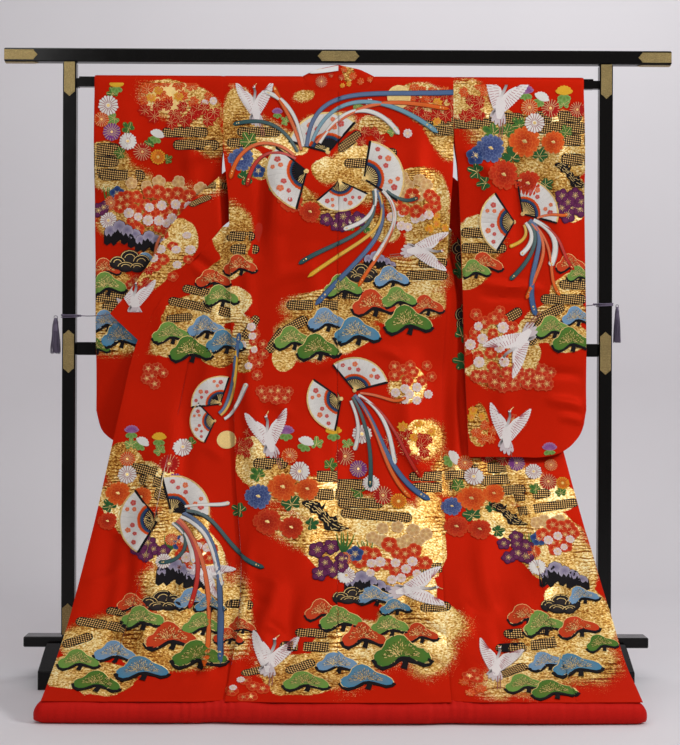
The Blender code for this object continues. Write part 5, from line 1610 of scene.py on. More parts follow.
RIGHT_SPRAYS: Sprays = {
    P.TRUNK: ((48, 632, 1365, 4),),
    P.RED_MAPLE: ((22.4, 362, 1545, 2, 0, 5, 30, 30),),
    P.ORANGE_MAPLE: ((19.8, 370, 1590, 2, 0, 4, 30, 25), (18.7, 395, 668, 3, 0, 5, 26, 25)),
    P.BAR: (*bars(13.9, (352, 1505)), *bars(15.8, (590, 1525), (605, 1495)), *bars(13.9, (395, 1168),
        (610, 1030))),
    P.CRANE: ((92, 440, 1560, 5, 8), (92, 492, 915, 6, 155), (85, 452, 668, 5, 14)),
    P.SHORT_BAR: (*bars(15.8, (455, 1520), (640, 1462), (650, 1410)), *bars(13.9, (375, 1210), (640, 1070),
        (462, 978, 35), (575, 992, 30), (535, 942, 60))),
    P.PURPLE_BUD: ((24, 508, 1588), (22, 565, 625)),
    P.WHITE_BUD: ((24, 548, 1570, 4, -25),),
    P.YELLOW_BUD: ((26, 612, 1585, 4),),
    P.PALE_LEAVES: ((24, 610, 1558),),
    P.RED_DAISY: ((26, 575, 1548, 4), (22, 648, 1545, 4)),
    P.ORANGE_DAISY: ((24, 518, 1550, 5),),
    P.WHITE_DAISY: ((28, 532, 1508, 6),),
    P.LEAVES: ((28, 492, 1500, 4, 40), (34, 420, 1478, 3, 60), (26, 455, 1482, 3, -20), (24, 618, 1480, 4, 20),
        (24, 600, 1272, 3, 80)),
    P.ORANGE_BLOOM: ((44, 505, 1458, 5), (32, 582, 1455, 5)),
    P.BLUE_BLOOM: ((40, 412, 1438, 4),),
    P.BLUE_BELL: ((24, 372, 1418, 4),),
    P.DARK_LEAVES: ((36, 472, 1412, 4, 15), (28, 545, 1418, 4, -30), (30, 378, 1375, 3, 70),
        (26, 400, 1345, 3, 100), (24, 562, 1340, 4, -60)),
    P.RED_BLOOM: ((42, 448, 1368, 5), (36, 515, 1345, 6)),
    P.DARK_IRIS: ((21, 632, 1292, 4, 0, 8, 30, 35),),
    P.FAN: ((94, 502, 1262, 5, -48), (94, 478, 1240, 6, 92)),
    P.RED_PINE: ((46, 400, 1128, 4), (40, 632, 1128, 4)),
    P.PALE_PINE: ((40, 372, 1112, 5), (34, 655, 1100, 5), (48, 582, 955, 5)),
    P.SKY_PINE: ((42, 648, 985, 4),),
    P.GREEN_PINE: ((52, 632, 922, 6),),
    P.RED_PLUM: ((17, 410, 925, 3, 0, 18, 75, 80),),
    P.WHITE_CHERRY: ((14.8, 420, 912, 5, 0, 8, 70, 70),),
    P.RED_CHERRY: ((20, 455, 818, 4, 0, 12, 85, 22), (18, 545, 818, 4, 0, 7, 40, 22),
        (18, 480, 705, 3, 0, 2, 20, 10)),
    P.YELLOW_MAPLE: ((15, 372, 720, 3, 0, 3, 15, 20),),
}
RIGHT_RIBBONS = millimetres(Ribbon,
    (BLUE, 7.5, 520, 1245, 590, 1190, 490, 1100, 535, 985), (TEAL, 6, 515, 1240, 560, 1200, 520, 1130, 465, 1082),
    (WHITE, 8, 530, 1245, 610, 1210, 590, 1150, 575, 1120), (WHITE, 6.5, 510, 1238, 540, 1200, 520, 1170, 495, 1150),
    (ORANGE, 5.5, 525, 1235, 590, 1170, 540, 1120, 510, 1030), (YELLOW, 5, 505, 1232, 520, 1200, 500, 1185, 465, 1172),
    (ORANGE, 4.5, 540, 1250, 590, 1270, 600, 1250, 622, 1262),
    (SCARLET, 4.5, 540, 1240, 620, 1200, 600, 1150, 640, 1110),
    (ORANGE, 4.5, 535, 1230, 600, 1160, 560, 1090, 600, 1040))
RIGHT_FOIL = millimetres(Foil,
    (350, 1570, 60, 60), (420, 1515, 110, 50, -20), (560, 1500, 130, 48), (480, 1440, 120, 52, -30),
    (620, 1430, 70, 90), (590, 1350, 90, 55, -20), (520, 1370, 100, 36, -20), (640, 1290, 50, 60), (380, 1190, 70, 75),
    (360, 1110, 60, 60, 20), (630, 1060, 70, 50, 16), (580, 970, 110, 62, 30), (620, 930, 70, 50),
    (450, 900, 110, 80, -20), (430, 830, 120, 40), (375, 690, 36, 70))

COLLAR_SPRAYS: Sprays = {
    P.SHORT_BAR: ((14, -336, 1334, 3), (12, -372, 1292, 3, 35)),
    P.WHITE_CHERRY: ((14.8, -452, 1165, 4, 0, 8, 60, 60),),
    P.RED_PLUM: ((17, -470, 1150, 3, 0, 9, 70, 70),),
    P.CRANE: ((80, -545, 1020, 5, 20),),
    P.RED_MAPLE: ((19, -520, 1080, 3, 0, 4, 20, 30),),
}

COLLAR_FOIL = millimetres(Foil,
    (-345, 1332, 50, 26, 10), (-440, 1175, 70, 75, 20), (-490, 1110, 55, 60, 20), (-470, 1150, 40, 60),
    (28, 1640, 24, 40), (-60, 1650, 60, 12))
NECK_SPRAYS: Sprays = {
    P.RED_DAISY: ((17, -46, 1618, 3, 10),),
    P.RED_MAPLE: ((9, -20, 1634, 3, 20), (12, 8, 1628, 3, 0)),
    P.ORANGE_MAPLE: ((14.3, 40, 1632, 4, 20), (12.1, 14, 1650, 4, -30), (13.2, 62, 1618, 4, 60), (11, 86, 1622, 4)),
    P.YELLOW_MAPLE: ((9, 12, 1606, 4, 30), (10, 30, 1612, 4, 80)),
}
BACK_CREASES = millimetres(Crease,
    (-235, 1250, -240, 700, 16, 4), (-180, 1420, -150, 1200, 30, 4), (-60, 700, -90, 300, 30, 4),
    (-215, 420, -250, 90, 16, 5), (60, 340, 40, 100, 24, -4), (-130, 620, -190, 520, 16, 3),
    (60, 880, -60, 840, 14, 2.5), (-200, 1060, -60, 1120, 18, 2.5), (-275, 250, -180, 170, 12, 3),
    (150, 650, 230, 560, 18, 3), (-150, 1480, -175, 1080, 22, 6.4), (-205, 1430, -215, 1130, 18, -4.8),
    (215, 1500, 235, 1150, 24, 5.6), (120, 1300, 105, 950, 26, -4), (-60, 1180, -75, 820, 30, 4.8),
    (-225, 860, -215, 480, 26, 4), (180, 900, 200, 560, 28, 6.4), (35, 760, 50, 420, 34, -4.8),
    (-150, 330, -185, 120, 22, 7.2), (-105, 300, -130, 100, 20, -5.6), (110, 300, 135, 120, 26, 6.4),
    (165, 330, 170, 130, 20, -5.6), (-230, 330, -130, 290, 11, 3.2), (-250, 290, -160, 235, 11, -2.4),
    (-215, 215, -110, 180, 12, 3.2), (-240, 150, -140, 100, 12, 3.6), (-90, 90, 20, 74, 9, 3),
    (200, 215, 272, 170, 10, 3.6), (190, 180, 262, 130, 10, -2.4), (215, 140, 275, 95, 10, 3.6),
    (150, 110, 240, 78, 9, 3), (100, 900, 180, 860, 12, 2.4), (-200, 760, -110, 720, 12, 2.4),
    (-60, 330, 30, 300, 12, 2), (-280, 1610, -235, 1540, 10, 2.4), (225, 1610, 240, 1530, 12, 2.4),
    (-10, 260, 0, 110, 24, 4.8))
FRONT_CREASES = millimetres(Crease,
    (-300, 330, -262, 70, 14, 5), (-380, 130, -270, 90, 12, 4), (-540, 330, -640, 290, 12, 3),
    (-560, 250, -650, 225, 10, -3), (-420, 700, -450, 420, 30, 4), (-520, 420, -560, 120, 18, -4),
    (380, 700, 400, 300, 26, 4), (300, 330, 330, 80, 16, 5), (560, 330, 590, 120, 16, 4), (430, 160, 520, 80, 12, 3),
    (-420, 1180, -330, 1090, 12, -4), (-400, 1130, -320, 1050, 10, 3), (-330, 1080, -345, 700, 22, 5.6),
    (-395, 880, -415, 450, 24, -5.6), (-350, 520, -390, 180, 24, 7.2), (-300, 420, -320, 140, 18, -4.8),
    (-480, 640, -510, 300, 26, 6.4), (-450, 330, -475, 110, 20, 6.4), (-565, 480, -600, 160, 26, -4.8),
    (-330, 160, -300, 90, 14, 6.4), (-355, 130, -330, 80, 12, -4.8), (-470, 1030, -480, 820, 20, 4),
    (330, 1060, 345, 640, 22, 5.6), (400, 860, 425, 420, 26, -5.6), (360, 440, 395, 160, 20, 6.4),
    (490, 560, 520, 240, 26, 6.4), (580, 460, 620, 170, 24, -4.8), (-430, 260, -340, 210, 11, 3.2),
    (-380, 100, -300, 82, 9, 3.6), (-350, 140, -290, 104, 9, 3.6), (-600, 430, -520, 400, 11, 2.4),
    (300, 250, 380, 215, 11, 3.2), (310, 190, 400, 150, 11, -2.4), (300, 130, 390, 96, 10, 3.4),
    (470, 330, 560, 280, 12, 2.8), (400, 480, 470, 440, 12, 2.6), (-360, 640, -300, 600, 11, 2.6),
    (450, 300, 470, 110, 18, 6.4), (395, 240, 405, 110, 12, -6.4), (640, 420, 672, 200, 14, 4))
SLEEVE_CREASES = millimetres(Crease,
    (-390, 1540, -405, 1180, 22, 4.8), (-470, 1480, -480, 1020, 26, -4), (-560, 1560, -565, 1100, 24, 4.8),
    (-645, 960, -520, 935, 9, 4.48), (-650, 930, -560, 905, 8, -3.2), (-430, 1080, -440, 760, 24, 4),
    (-330, 1455, -420, 1380, 12, 3.2), (400, 1550, 410, 1240, 22, 4.8), (480, 1500, 490, 1150, 24, -4),
    (585, 1570, 600, 1160, 24, 4.8), (370, 1075, 560, 1055, 10, 4.48), (380, 1040, 510, 1030, 8, -2.88),
    (560, 765, 670, 735, 10, 4.8), (590, 715, 670, 700, 8, 3.52), (540, 840, 665, 820, 10, -3.2),
    (440, 980, 450, 680, 26, 4.8), (335, 1440, 430, 1360, 12, 3.52))


# ---------------------------------------------------------------- cloth
FOLD = 2.1                        # how much deeper the creases are laid than their rows say
SEAM_LAP, END_LAP = 0.0009, 0.0012          # how far a face runs past its side seams and its top
SMOOTH_DOWN, SMOOTH_FADE = 0.035, 0.050     # creases start this far below the shoulder, and grow over that length
FOIL_EDGE = 0.008                           # how far inside its oval the foil ends
NO_FOIL = -0.2


def pushed(x: np.ndarray, z: np.ndarray, creases: Sequence[Crease]) -> np.ndarray:
    """How far a panel's creases stand out at its points.

    Args:
        x, z: the points.
        creases: the panel's creases.

    Returns:
        The rise at each point.
    """
    total = np.zeros_like(x)
    for c in creases:
        run = np.array([c.x1 - c.x0, c.z1 - c.z0])
        length = np.linalg.norm(run)
        share = ((x - c.x0) * run[0] + (z - c.z0) * run[1]) / length ** 2
        aside = ((x - c.x0) * run[1] - (z - c.z0) * run[0]) / length
        wavy = aside + 0.25 * c.width * np.sin(share * 7.0 + c.x0 * 40.0)
        taper = np.sin(np.pi * np.clip(share, 0.0, 1.0)) ** 0.8
        total += FOLD * c.rise * taper * np.exp(-((wavy / c.width) ** 2))
    return total


def build(name: str, points: np.ndarray, faces: Faces, finishes: Sequence[Material],
          slot: str, nodes: Sequence[str] = (), finish_of: Optional[Sequence[int]] = None,
          crisp: float = 50.0) -> Piece:
    """Makes a piece that rides with the garment and its stand.

    Args:
        name: its name.
        points: its points in metres.
        faces: its faces, as numbers of points.
        finishes: its materials.
        slot: the record's slot that it takes its finish from; not used.
        nodes: the solids that it stands for.
        finish_of: each face's material, if there are several.
        crisp: edges sharper than this many degrees stay sharp.

    Returns:
        The piece.
    """
    mesh = bpy.data.meshes.new(name)
    mesh.from_pydata([tuple(map(float, p)) for p in points], [], [tuple(f) for f in faces])
    for finish in finishes:
        mesh.materials.append(finish)
    if finish_of is not None:
        mesh.polygons.foreach_set("material_index", np.array(finish_of, np.int32))
    mesh.shade_smooth()
    mesh.set_sharp_from_angle(angle=math.radians(crisp))
    made = bpy.data.objects.new(name, mesh)
    bpy.context.scene.collection.objects.link(made)
    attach(made, "root")
    if nodes:
        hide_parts(*nodes)
    LOG.info("%s: %d faces", name, len(mesh.polygons))
    return made


def lay_uv(piece: Piece, at: np.ndarray) -> None:
    """Gives a piece a UV map, in metres, from a place for each of its points."""
    mesh = piece.data
    corner = np.empty(len(mesh.loops), np.int32)
    mesh.loops.foreach_get("vertex_index", corner)
    layer = mesh.uv_layers.new(name="cloth")
    layer.data.foreach_set("uv", np.asarray(at, np.float32)[corner].ravel())


@dataclass
class Shell:
    """One cloth panel: its face and its lining on the form of its solid.

    Attributes:
        node: the solid that it stands for.
        grid: rows x columns of points on the middle of its wall, before the stand's plane is added.
        out: 1 or -1, whether its face is on the side of the grid's normals.
        flat: width and length that it was cut to; not used.
        rests_on: what it hangs from; not used.
        area: its cut's area where that isn't width times length; not used.
        creases: the panel's creases.
        along_y: whether creases move it straight out rather than along its normals.
        foil: the gold ovals woven into it.
        flap: how many of its first columns are turned under, and stay straight and smooth.
        step: the widest gap between its rows and columns.
        half_wall: half the thickness of face and lining together.
    """

    node: str
    grid: np.ndarray
    out: float
    flat: tuple[float, float]
    rests_on: Sequence[str]
    area: Optional[float] = None
    creases: Sequence[Crease] = ()
    along_y: float = 0.0
    foil: Sequence[Foil] = ()
    flap: int = 0
    step: float = 0.0095
    half_wall: float = 0.0010
    outer: np.ndarray = field(init=False)
    inner: np.ndarray = field(init=False)
    first_shown: int = field(init=False)

    def __post_init__(self) -> None:
        """Refines the grid, lays in the creases and parts it into face and lining."""
        turned = refine(self.grid.transpose(1, 0, 2), self.step, self.flap)
        chord = np.linalg.norm(np.diff(self.grid.transpose(1, 0, 2), axis=0), axis=-1).mean(axis=1)
        self.first_shown = sum(max(1, math.ceil(c / self.step)) for c in chord[:self.flap])
        grid = refine(turned.transpose(1, 0, 2), self.step)
        grid = grid + np.array([0.0, STAND_Y, 0.0])
        for edge, next_to in ((0, 1), (-1, -2)):
            out = grid[:, edge] - grid[:, next_to]
            grid[:, edge] += out / np.linalg.norm(out, axis=1, keepdims=True) * SEAM_LAP
        if self.node.startswith(("back", "collar_left", "collar_right")):
            out = grid[0] - grid[1]
            grid[0] += out / np.linalg.norm(out, axis=1, keepdims=True) * END_LAP
        normal = normals_of(grid) * self.out
        rise = pushed(grid[..., 0], grid[..., 2], self.creases)
        if self.flap:
            column = np.arange(grid.shape[1]) - self.first_shown
            rise = rise * np.clip(column / 5.0, 0.0, 1.0)[None, :]
        rise = rise * np.clip((SHOULDER - SMOOTH_DOWN - grid[..., 2]) / SMOOTH_FADE, 0.0, 1.0)
        move = normal * rise[..., None] if not self.along_y else rise[..., None] * np.array([0.0, self.along_y, 0.0])
        grid = grid + move
        normal = normals_of(grid) * self.out
        self.outer = grid + normal * self.half_wall
        self.outer[:, (0, -1)] -= normal[:, (0, -1)] * self.half_wall
        self.inner = grid - normal * self.half_wall

    def gold(self, points: np.ndarray) -> np.ndarray:
        """How deep each point lies inside the gold, negative outside it."""
        depth = np.full(len(points), NO_FOIL)
        for f in self.foil:
            x = points[:, 0] - f.x
            reach = np.hypot(x / f.half_width, (points[:, 2] - f.z - f.climb * x / f.half_width) / f.half_height)
            depth = np.maximum(depth, (1.0 - reach) * min(f.half_width, f.half_height))
        return depth - FOIL_EDGE

    def make(self, face: Material, lining: Material, slot: str = "brocade",
             with_pieces: Sequence[Piece] = ()) -> None:
        """Builds the panel.

        Args:
            face, lining: its two finishes.
            slot: the record's slot of its face; not used.
            with_pieces: its needlework; not used.
        """
        number, quads = quads_of(self.outer)
        if self.out < 0:
            quads = quads[:, ::-1]
        under = quads[:, ::-1] + number.size
        rim = list(number[0]) + list(number[1:, -1]) + list(number[-1, -2::-1]) + list(number[-2:0:-1, 0])
        pairs = [(a, b) if self.out > 0 else (b, a) for a, b in zip(rim, rim[1:] + rim[:1])]
        side = [(a, b, b + number.size, a + number.size) for a, b in pairs]
        faces = quads.tolist() + under.tolist() + side
        finish_of = [0] * len(quads) + [1] * len(under) + [0] * len(side)
        points = np.concatenate([self.outer.reshape(-1, 3), self.inner.reshape(-1, 3)])
        piece = build(self.node + "_cloth", points, faces, (face, lining), slot, (self.node,), finish_of)
        across, down = mean_run(self.outer.transpose(1, 0, 2)), mean_run(self.outer)
        uv = np.stack(np.meshgrid(across, -down), axis=-1).reshape(-1, 2)
        lay_uv(piece, np.concatenate([uv, uv]))
        layer = piece.data.attributes.new("gold", "FLOAT", "POINT")
        layer.data.foreach_set("value", self.gold(points).astype(np.float32))


# ---------------------------------------------------------------- needlework
class Needlework:
    """Drapes the picture's motifs on one panel's face."""

    LIFT = 0.00025                 # how far the lowest layer lies off the cloth
    LAYER = 0.00045
    RELIEF = 0.55                  # how much of a motif's own modelling is kept
    MARGIN = 0.0007                # how far from the seams it ends
    SUNK = 0.35                    # how much height is left where a motif is cut off
    RAY = 2.0                      # how far off the rays start
    SMALLEST = 4e-8                # a face smaller than this, in square metres, is left out

    def __init__(self, shell: Shell, low: float, high: float, behind: bool = False, top_row: int = 0,
                 loose: bool = False) -> None:
        """Measures the panel.

        Args:
            shell: the panel.
            low, high: the heights between which it carries the picture.
            behind: whether its face is worked from the far side.
            top_row: the first row of its grid that hangs free.
            loose: whether motifs are laid straight on it and end where it ends.
        """
        self.loose = loose
        grid = shell.outer[:, shell.first_shown:]
        quads = quads_of(grid)[1]
        self.tree = BVHTree.FromPolygons([tuple(p) for p in grid.reshape(-1, 3)], [tuple(q) for q in quads.tolist()])
        self.behind = behind
        self.low, self.high = low, high
        edges = sorted((grid[top_row:, 0], grid[top_row:, -1]), key=lambda e: e[:, 0].mean())
        self.edges = [(e[::-1, 2], e[::-1, 0]) for e in edges]
        middle = grid[:, grid.shape[1] // 2]
        self.heights, self.run = middle[::-1, 2], along(middle)[::-1]
        self.points: list[np.ndarray] = []
        self.dyes: list[np.ndarray] = []
        self.grains: list[np.ndarray] = []
        self.faces: FaceList = []
        self.worked: list[int] = []
        self.count = 0

    def length_at(self, z):
        """The cloth's length down from the top of the panel to a height."""
        return np.interp(z, self.heights, self.run)

    def reaches(self, x: float, z: float, size: float) -> bool:
        """Whether a motif of that size at that place touches the panel."""
        if not self.low - size < z < self.high + size:
            return False
        if self.loose:
            return True
        inside = min(max(z, self.low), self.high)
        left, right = (float(np.interp(inside, *edge)) for edge in self.edges)
        return left - size < x < right + size

    def add(self, motif: Motif, x: float, z: float, size: float, turn: float = 0.0, layer: float = 0.0) -> None:
        """Drapes one motif.

        Args:
            motif: what to drape.
            x, z: its place.
            size: metres to its unit.
            turn: degrees that it is turned.
            layer: how many others it may lie over.
        """
        at = np.array(motif.at)
        flat = turned_by(at[:, :2] * size, turn)
        wanted_x = x + flat[:, 0]
        run = self.length_at(z) - flat[:, 1]
        wanted_z = np.interp(run, self.run[::-1], self.heights[::-1])
        kept_z = np.clip(wanted_z, self.low, self.high)
        left, right = (np.interp(kept_z, *edge) for edge in self.edges)
        kept_x = np.clip(wanted_x, left + self.MARGIN, right - self.MARGIN)
        cut = (np.abs(kept_x - wanted_x) > 1e-6) | (np.abs(kept_z - wanted_z) > 1e-6)
        if self.loose:
            kept_x, kept_z, cut = wanted_x, z + flat[:, 1], False
        height = self.LIFT + layer * self.LAYER + at[:, 2] * self.RELIEF
        height = np.where(cut, height * self.SUNK, height)
        height = np.where(at[:, 2] == SKIRT, TUCKED, height)
        start, way = (self.RAY, -1.0) if self.behind else (-self.RAY, 1.0)
        found = np.full((len(at), 3), np.nan)
        ray = self.tree.ray_cast
        for i, (px, pz, h) in enumerate(zip(kept_x, kept_z, height)):
            hit, normal, _, _ = ray(Vector((px, start, pz)), Vector((0.0, way, 0.0)))
            if hit is not None:
                if normal.y * way > 0:
                    normal = -normal
                found[i] = hit + normal * h
        self.points.append(found)
        self.dyes.append(np.array(motif.dye))
        self.grains.append(np.array(motif.grain) * size)
        self.faces += [tuple(k + self.count for k in f) for f in motif.faces]
        self.worked += motif.worked
        self.count += len(at)

    def make(self, name: str, wardrobe: Wardrobe) -> Optional[Piece]:
        """Joins everything into one piece.

        Args:
            name: the piece's name.
            wardrobe: the finishes.

        Returns:
            The piece, or nothing where the panel carries no motif.
        """
        if not self.faces:
            return None
        points = np.concatenate(self.points)
        faces, worked = [], []
        for face, thread in zip(self.faces, self.worked):
            p = points[list(face)]
            area = np.linalg.norm(np.cross(p[1] - p[0], p[2] - p[0]))
            if len(face) == 4:
                area += np.linalg.norm(np.cross(p[2] - p[0], p[3] - p[0]))
            if area > self.SMALLEST:
                faces.append(face[::-1] if self.behind else face)
                worked.append(thread)
        if not faces:
            return None
        used = np.unique(np.concatenate([np.array(f) for f in faces]))
        place = np.zeros(len(points), int)
        place[used] = np.arange(len(used))
        faces = [tuple(int(place[k]) for k in f) for f in faces]
        finishes = (wardrobe.floss, wardrobe.gold, wardrobe.lattice)
        piece = build(name, points[used], faces, finishes, "brocade", finish_of=worked, crisp=70.0)
        lay_uv(piece, np.concatenate(self.grains)[used])
        dye = np.concatenate(self.dyes)[used]
        layer = piece.data.attributes.new("stitch", "FLOAT_COLOR", "POINT")
        layer.data.foreach_set("color", np.column_stack([dye, np.ones(len(dye))]).astype(np.float32).ravel())
        return piece


class Picture:
    """The whole picture of the cloth, ready to be draped on any panel."""

    POINTS = 44                    # along a streamer
    OVER = 6.4                     # the layer that streamers lie in
    TRIES = 12                     # places tried for each scattered motif

    def __init__(self) -> None:
        """Draws every motif once."""
        self.motifs: dict[Pattern, Motif] = {}
        for pattern in Pattern:
            draw, *rest = pattern.value
            self.motifs[pattern] = draw(*rest)

    def drape(self, panel: Needlework, sprays: Sprays, ribbons: Sequence[Ribbon], seed: int) -> None:
        """Drapes sprays and ribbons on a panel.

        Args:
            panel: where they go.
            sprays, ribbons: what goes there.
            seed: fixes how scattered motifs fall.
        """
        for r in ribbons:
            if not panel.reaches((r.x0 + r.x3) / 2, (r.z0 + r.z3) / 2, abs(r.x3 - r.x0) / 2 + abs(r.z3 - r.z0) / 2):
                continue
            base = panel.length_at(r.z0)
            t = np.linspace(0.0, 1.0, self.POINTS)[:, None]
            knots = [np.array([x - r.x0, base - panel.length_at(z)])
                     for x, z in ((r.x0, r.z0), (r.x1, r.z1), (r.x2, r.z2), (r.x3, r.z3))]
            line = ((1 - t) ** 3 * knots[0] + 3 * t * (1 - t) ** 2 * knots[1]
                    + 3 * t * t * (1 - t) * knots[2] + t ** 3 * knots[3])
            streamer = Motif()
            for share, tone, level in ((1.0, 0.45, 0.0), (0.74, 1.0, 0.0004)):
                root, tip = (tuple(tone * c for c in dye) for dye in (paler(r.dye, 0.14), r.dye))
                streamer.band(line, lambda s, w=share * r.width: w * (0.72 + 0.36 * s) * min(
                    1.0, math.sqrt((1.001 - s) / 0.03)), root, tip, level, 0.0008)
            for k, size in ((-4, 0.40), (-3, 0.25)):
                streamer.knot(line[k], size * r.width, 0.0016)
            panel.add(streamer, r.x0, r.z0, 1.0, 0.0, self.OVER + 0.3 * (int(r.x1 * 1000) % 5))
        for number, s in enumerate(Spray(pattern, *row) for pattern, rows in sprays.items() for row in rows):
            rng = np.random.default_rng(seed * 1000 + number)
            for k, (x, z, size, turn) in enumerate(self.scatter(s, rng)):
                x, z, size = x / 1000.0, z / 1000.0, size / 1000.0
                if panel.reaches(x, z, size):
                    layer = s.layer + 0.18 * (k % 4) + 0.05 * (number % 4)
                    panel.add(self.motifs[s.pattern], x, z, size, turn, layer)

    @classmethod
    def scatter(cls, s: Spray, rng: np.random.Generator) -> list[tuple[float, float, float, float]]:
        """Places for a spray's motifs, each as far from the others as a few tries find."""
        if s.count == 1:
            return [(s.x, s.z, s.size, s.turn)]
        places: list[tuple[float, float, float, float]] = []
        for _ in range(s.count):
            best, gap = (s.x, s.z), -1.0
            for _ in range(cls.TRIES):
                angle, reach = rng.uniform(0, 2 * math.pi), math.sqrt(rng.uniform(0, 1))
                x = s.x + s.reach_x * reach * math.cos(angle)
                z = s.z + s.reach_z * reach * math.sin(angle)
                near = min((math.hypot(x - p[0], z - p[1]) for p in places), default=1000.0)
                if near > gap:
                    best, gap = (x, z), near
            size = s.size * rng.uniform(0.85, 1.15)
            places.append((*best, size, rng.uniform(-180.0, 180.0)))
        return places


# ---------------------------------------------------------------- the garment
@dataclass
class Garment:
    """Every cloth panel with its picture."""

    wardrobe: Wardrobe
    drape: Drape
    picture: Picture

    BODY_FLAT = (0.310, 1.750)
    OKUMI_FLAT = (0.160, 1.350)
    COLLAR_FLAT = (0.120, 0.980)
    SLEEVE_FLAT = (0.335, 1.000)
    STRIP_FLAT = (0.080, 0.011)
    FRONT_AREA = 0.50              # less the neck
    OKUMI_AREA = 0.85 * OKUMI_FLAT[0] * OKUMI_FLAT[1]             # pointed at its top
    COLLAR_AREA = 0.085
    ABOVE_HEM = 0.002              # the picture ends this far above a lower edge
    BODY_TOP = 1.612               # and here at the shoulder
    FREE_ROWS = 3                  # how many rows of a panel lie round the rod
    FRONT_TOP, OKUMI_TOP = 1.200, 1.205

    def build_all(self) -> None:
        """Builds every panel."""
        for side in Side:
            self.build_back(side)
            self.build_front(side)
            self.build_okumi(side)
            self.build_collar(side)
            self.build_sleeve(side, "back")
            self.build_sleeve(side, "front")
        self.build_strip()

    def finish(self, shell: Shell, panels: Sequence[Needlework]) -> None:
        """Makes a brocade panel with what is worked on it."""
        worked = [p.make(f"{shell.node}_needlework{'' if k == 0 else k + 1}", self.wardrobe)
                  for k, p in enumerate(panels)]
        shell.make(self.wardrobe.brocade, self.wardrobe.lining, with_pieces=[w for w in worked if w is not None])

    def finish_body(self, shell: Shell, top: float, top_row: int = 0) -> None:
        """Makes a panel with the body's picture up to a height."""
        panel = Needlework(shell, HEM + self.ABOVE_HEM, top, top_row=top_row)
        self.picture.drape(panel, BODY_SPRAYS, BODY_RIBBONS, 1)
        self.finish(shell, [panel])

    def build_back(self, side: Side) -> None:
        """One half of the back."""
        shell = Shell(f"back_{side.word}", self.drape.back(side), side.value, self.BODY_FLAT, ("hanging_rod",),
                      creases=BACK_CREASES, foil=BODY_FOIL)
        self.finish_body(shell, self.BODY_TOP, self.FREE_ROWS)

    def build_front(self, side: Side) -> None:
        """One front: turned face out below the armhole, and face to the wall above it."""
        shell = Shell(f"front_{side.word}", self.drape.front(side), side.value, self.BODY_FLAT, ("hanging_rod",),
                      creases=FRONT_CREASES, foil=BODY_FOIL, flap=4, area=self.FRONT_AREA)
        self.finish_body(shell, self.FRONT_TOP)

    def build_okumi(self, side: Side) -> None:
        """One overlap panel."""
        shell = Shell(f"okumi_{side.word}", self.drape.okumi(side), side.value, self.OKUMI_FLAT,
                      (f"front_{side.word}",), creases=FRONT_CREASES, foil=BODY_FOIL, area=self.OKUMI_AREA)
        self.finish_body(shell, self.OKUMI_TOP)

    def build_collar(self, side: Side) -> None:
        """One half of the collar band."""
        shell = Shell(f"collar_{side.word}", self.drape.collar(side), side.value, self.COLLAR_FLAT,
                      (f"front_{side.word}", f"back_{side.word}"), foil=COLLAR_FOIL, step=0.008, area=self.COLLAR_AREA)
        lower = Needlework(shell, 0.990, 1.350, top_row=30)
        self.picture.drape(lower, COLLAR_SPRAYS, (), 4)
        neck = Needlework(shell, 1.585, 1.665, loose=True)
        self.picture.drape(neck, NECK_SPRAYS, (), 5)
        self.finish(shell, [lower, neck])

    def build_sleeve(self, side: Side, wall: str) -> None:
        """One wall of a sleeve."""
        faces = 1.0 if wall == "back" else -1.0
        foil = LEFT_FOIL if side is Side.LEFT else RIGHT_FOIL
        sprays = LEFT_SPRAYS if side is Side.LEFT else RIGHT_SPRAYS
        ribbons = LEFT_RIBBONS if side is Side.LEFT else RIGHT_RIBBONS
        shell = Shell(f"sleeve_{side.word}_{wall}", self.drape.sleeve(side, wall), side.value * faces,
                      self.SLEEVE_FLAT, ("hanging_rod",), creases=SLEEVE_CREASES, along_y=-1.0, foil=foil)
        panel = Needlework(shell, SLEEVE_BOTTOM[side] + self.ABOVE_HEM, self.BODY_TOP, behind=wall == "front",
                           top_row=self.FREE_ROWS)
        self.picture.drape(panel, sprays, ribbons, 2 if side is Side.LEFT else 3)
        self.finish(shell, [panel])

    def build_strip(self) -> None:
        """The lining strip that shows where the left collar folds over."""
        band = self.drape.collar(Side.LEFT)
        seam, free = band[:5, :1], band[:5, -1:]
        share = np.array([0.9625, 0.8750, 0.7875])[None, :, None]
        grid = seam + (free - seam) * share - np.array([0.0, 0.0040, 0.0])
        shell = Shell("collar_lining", grid, -1.0, self.STRIP_FLAT, ("collar_left",), step=0.006, half_wall=0.0006)
        shell.make(self.wardrobe.white, self.wardrobe.white, "white_silk")


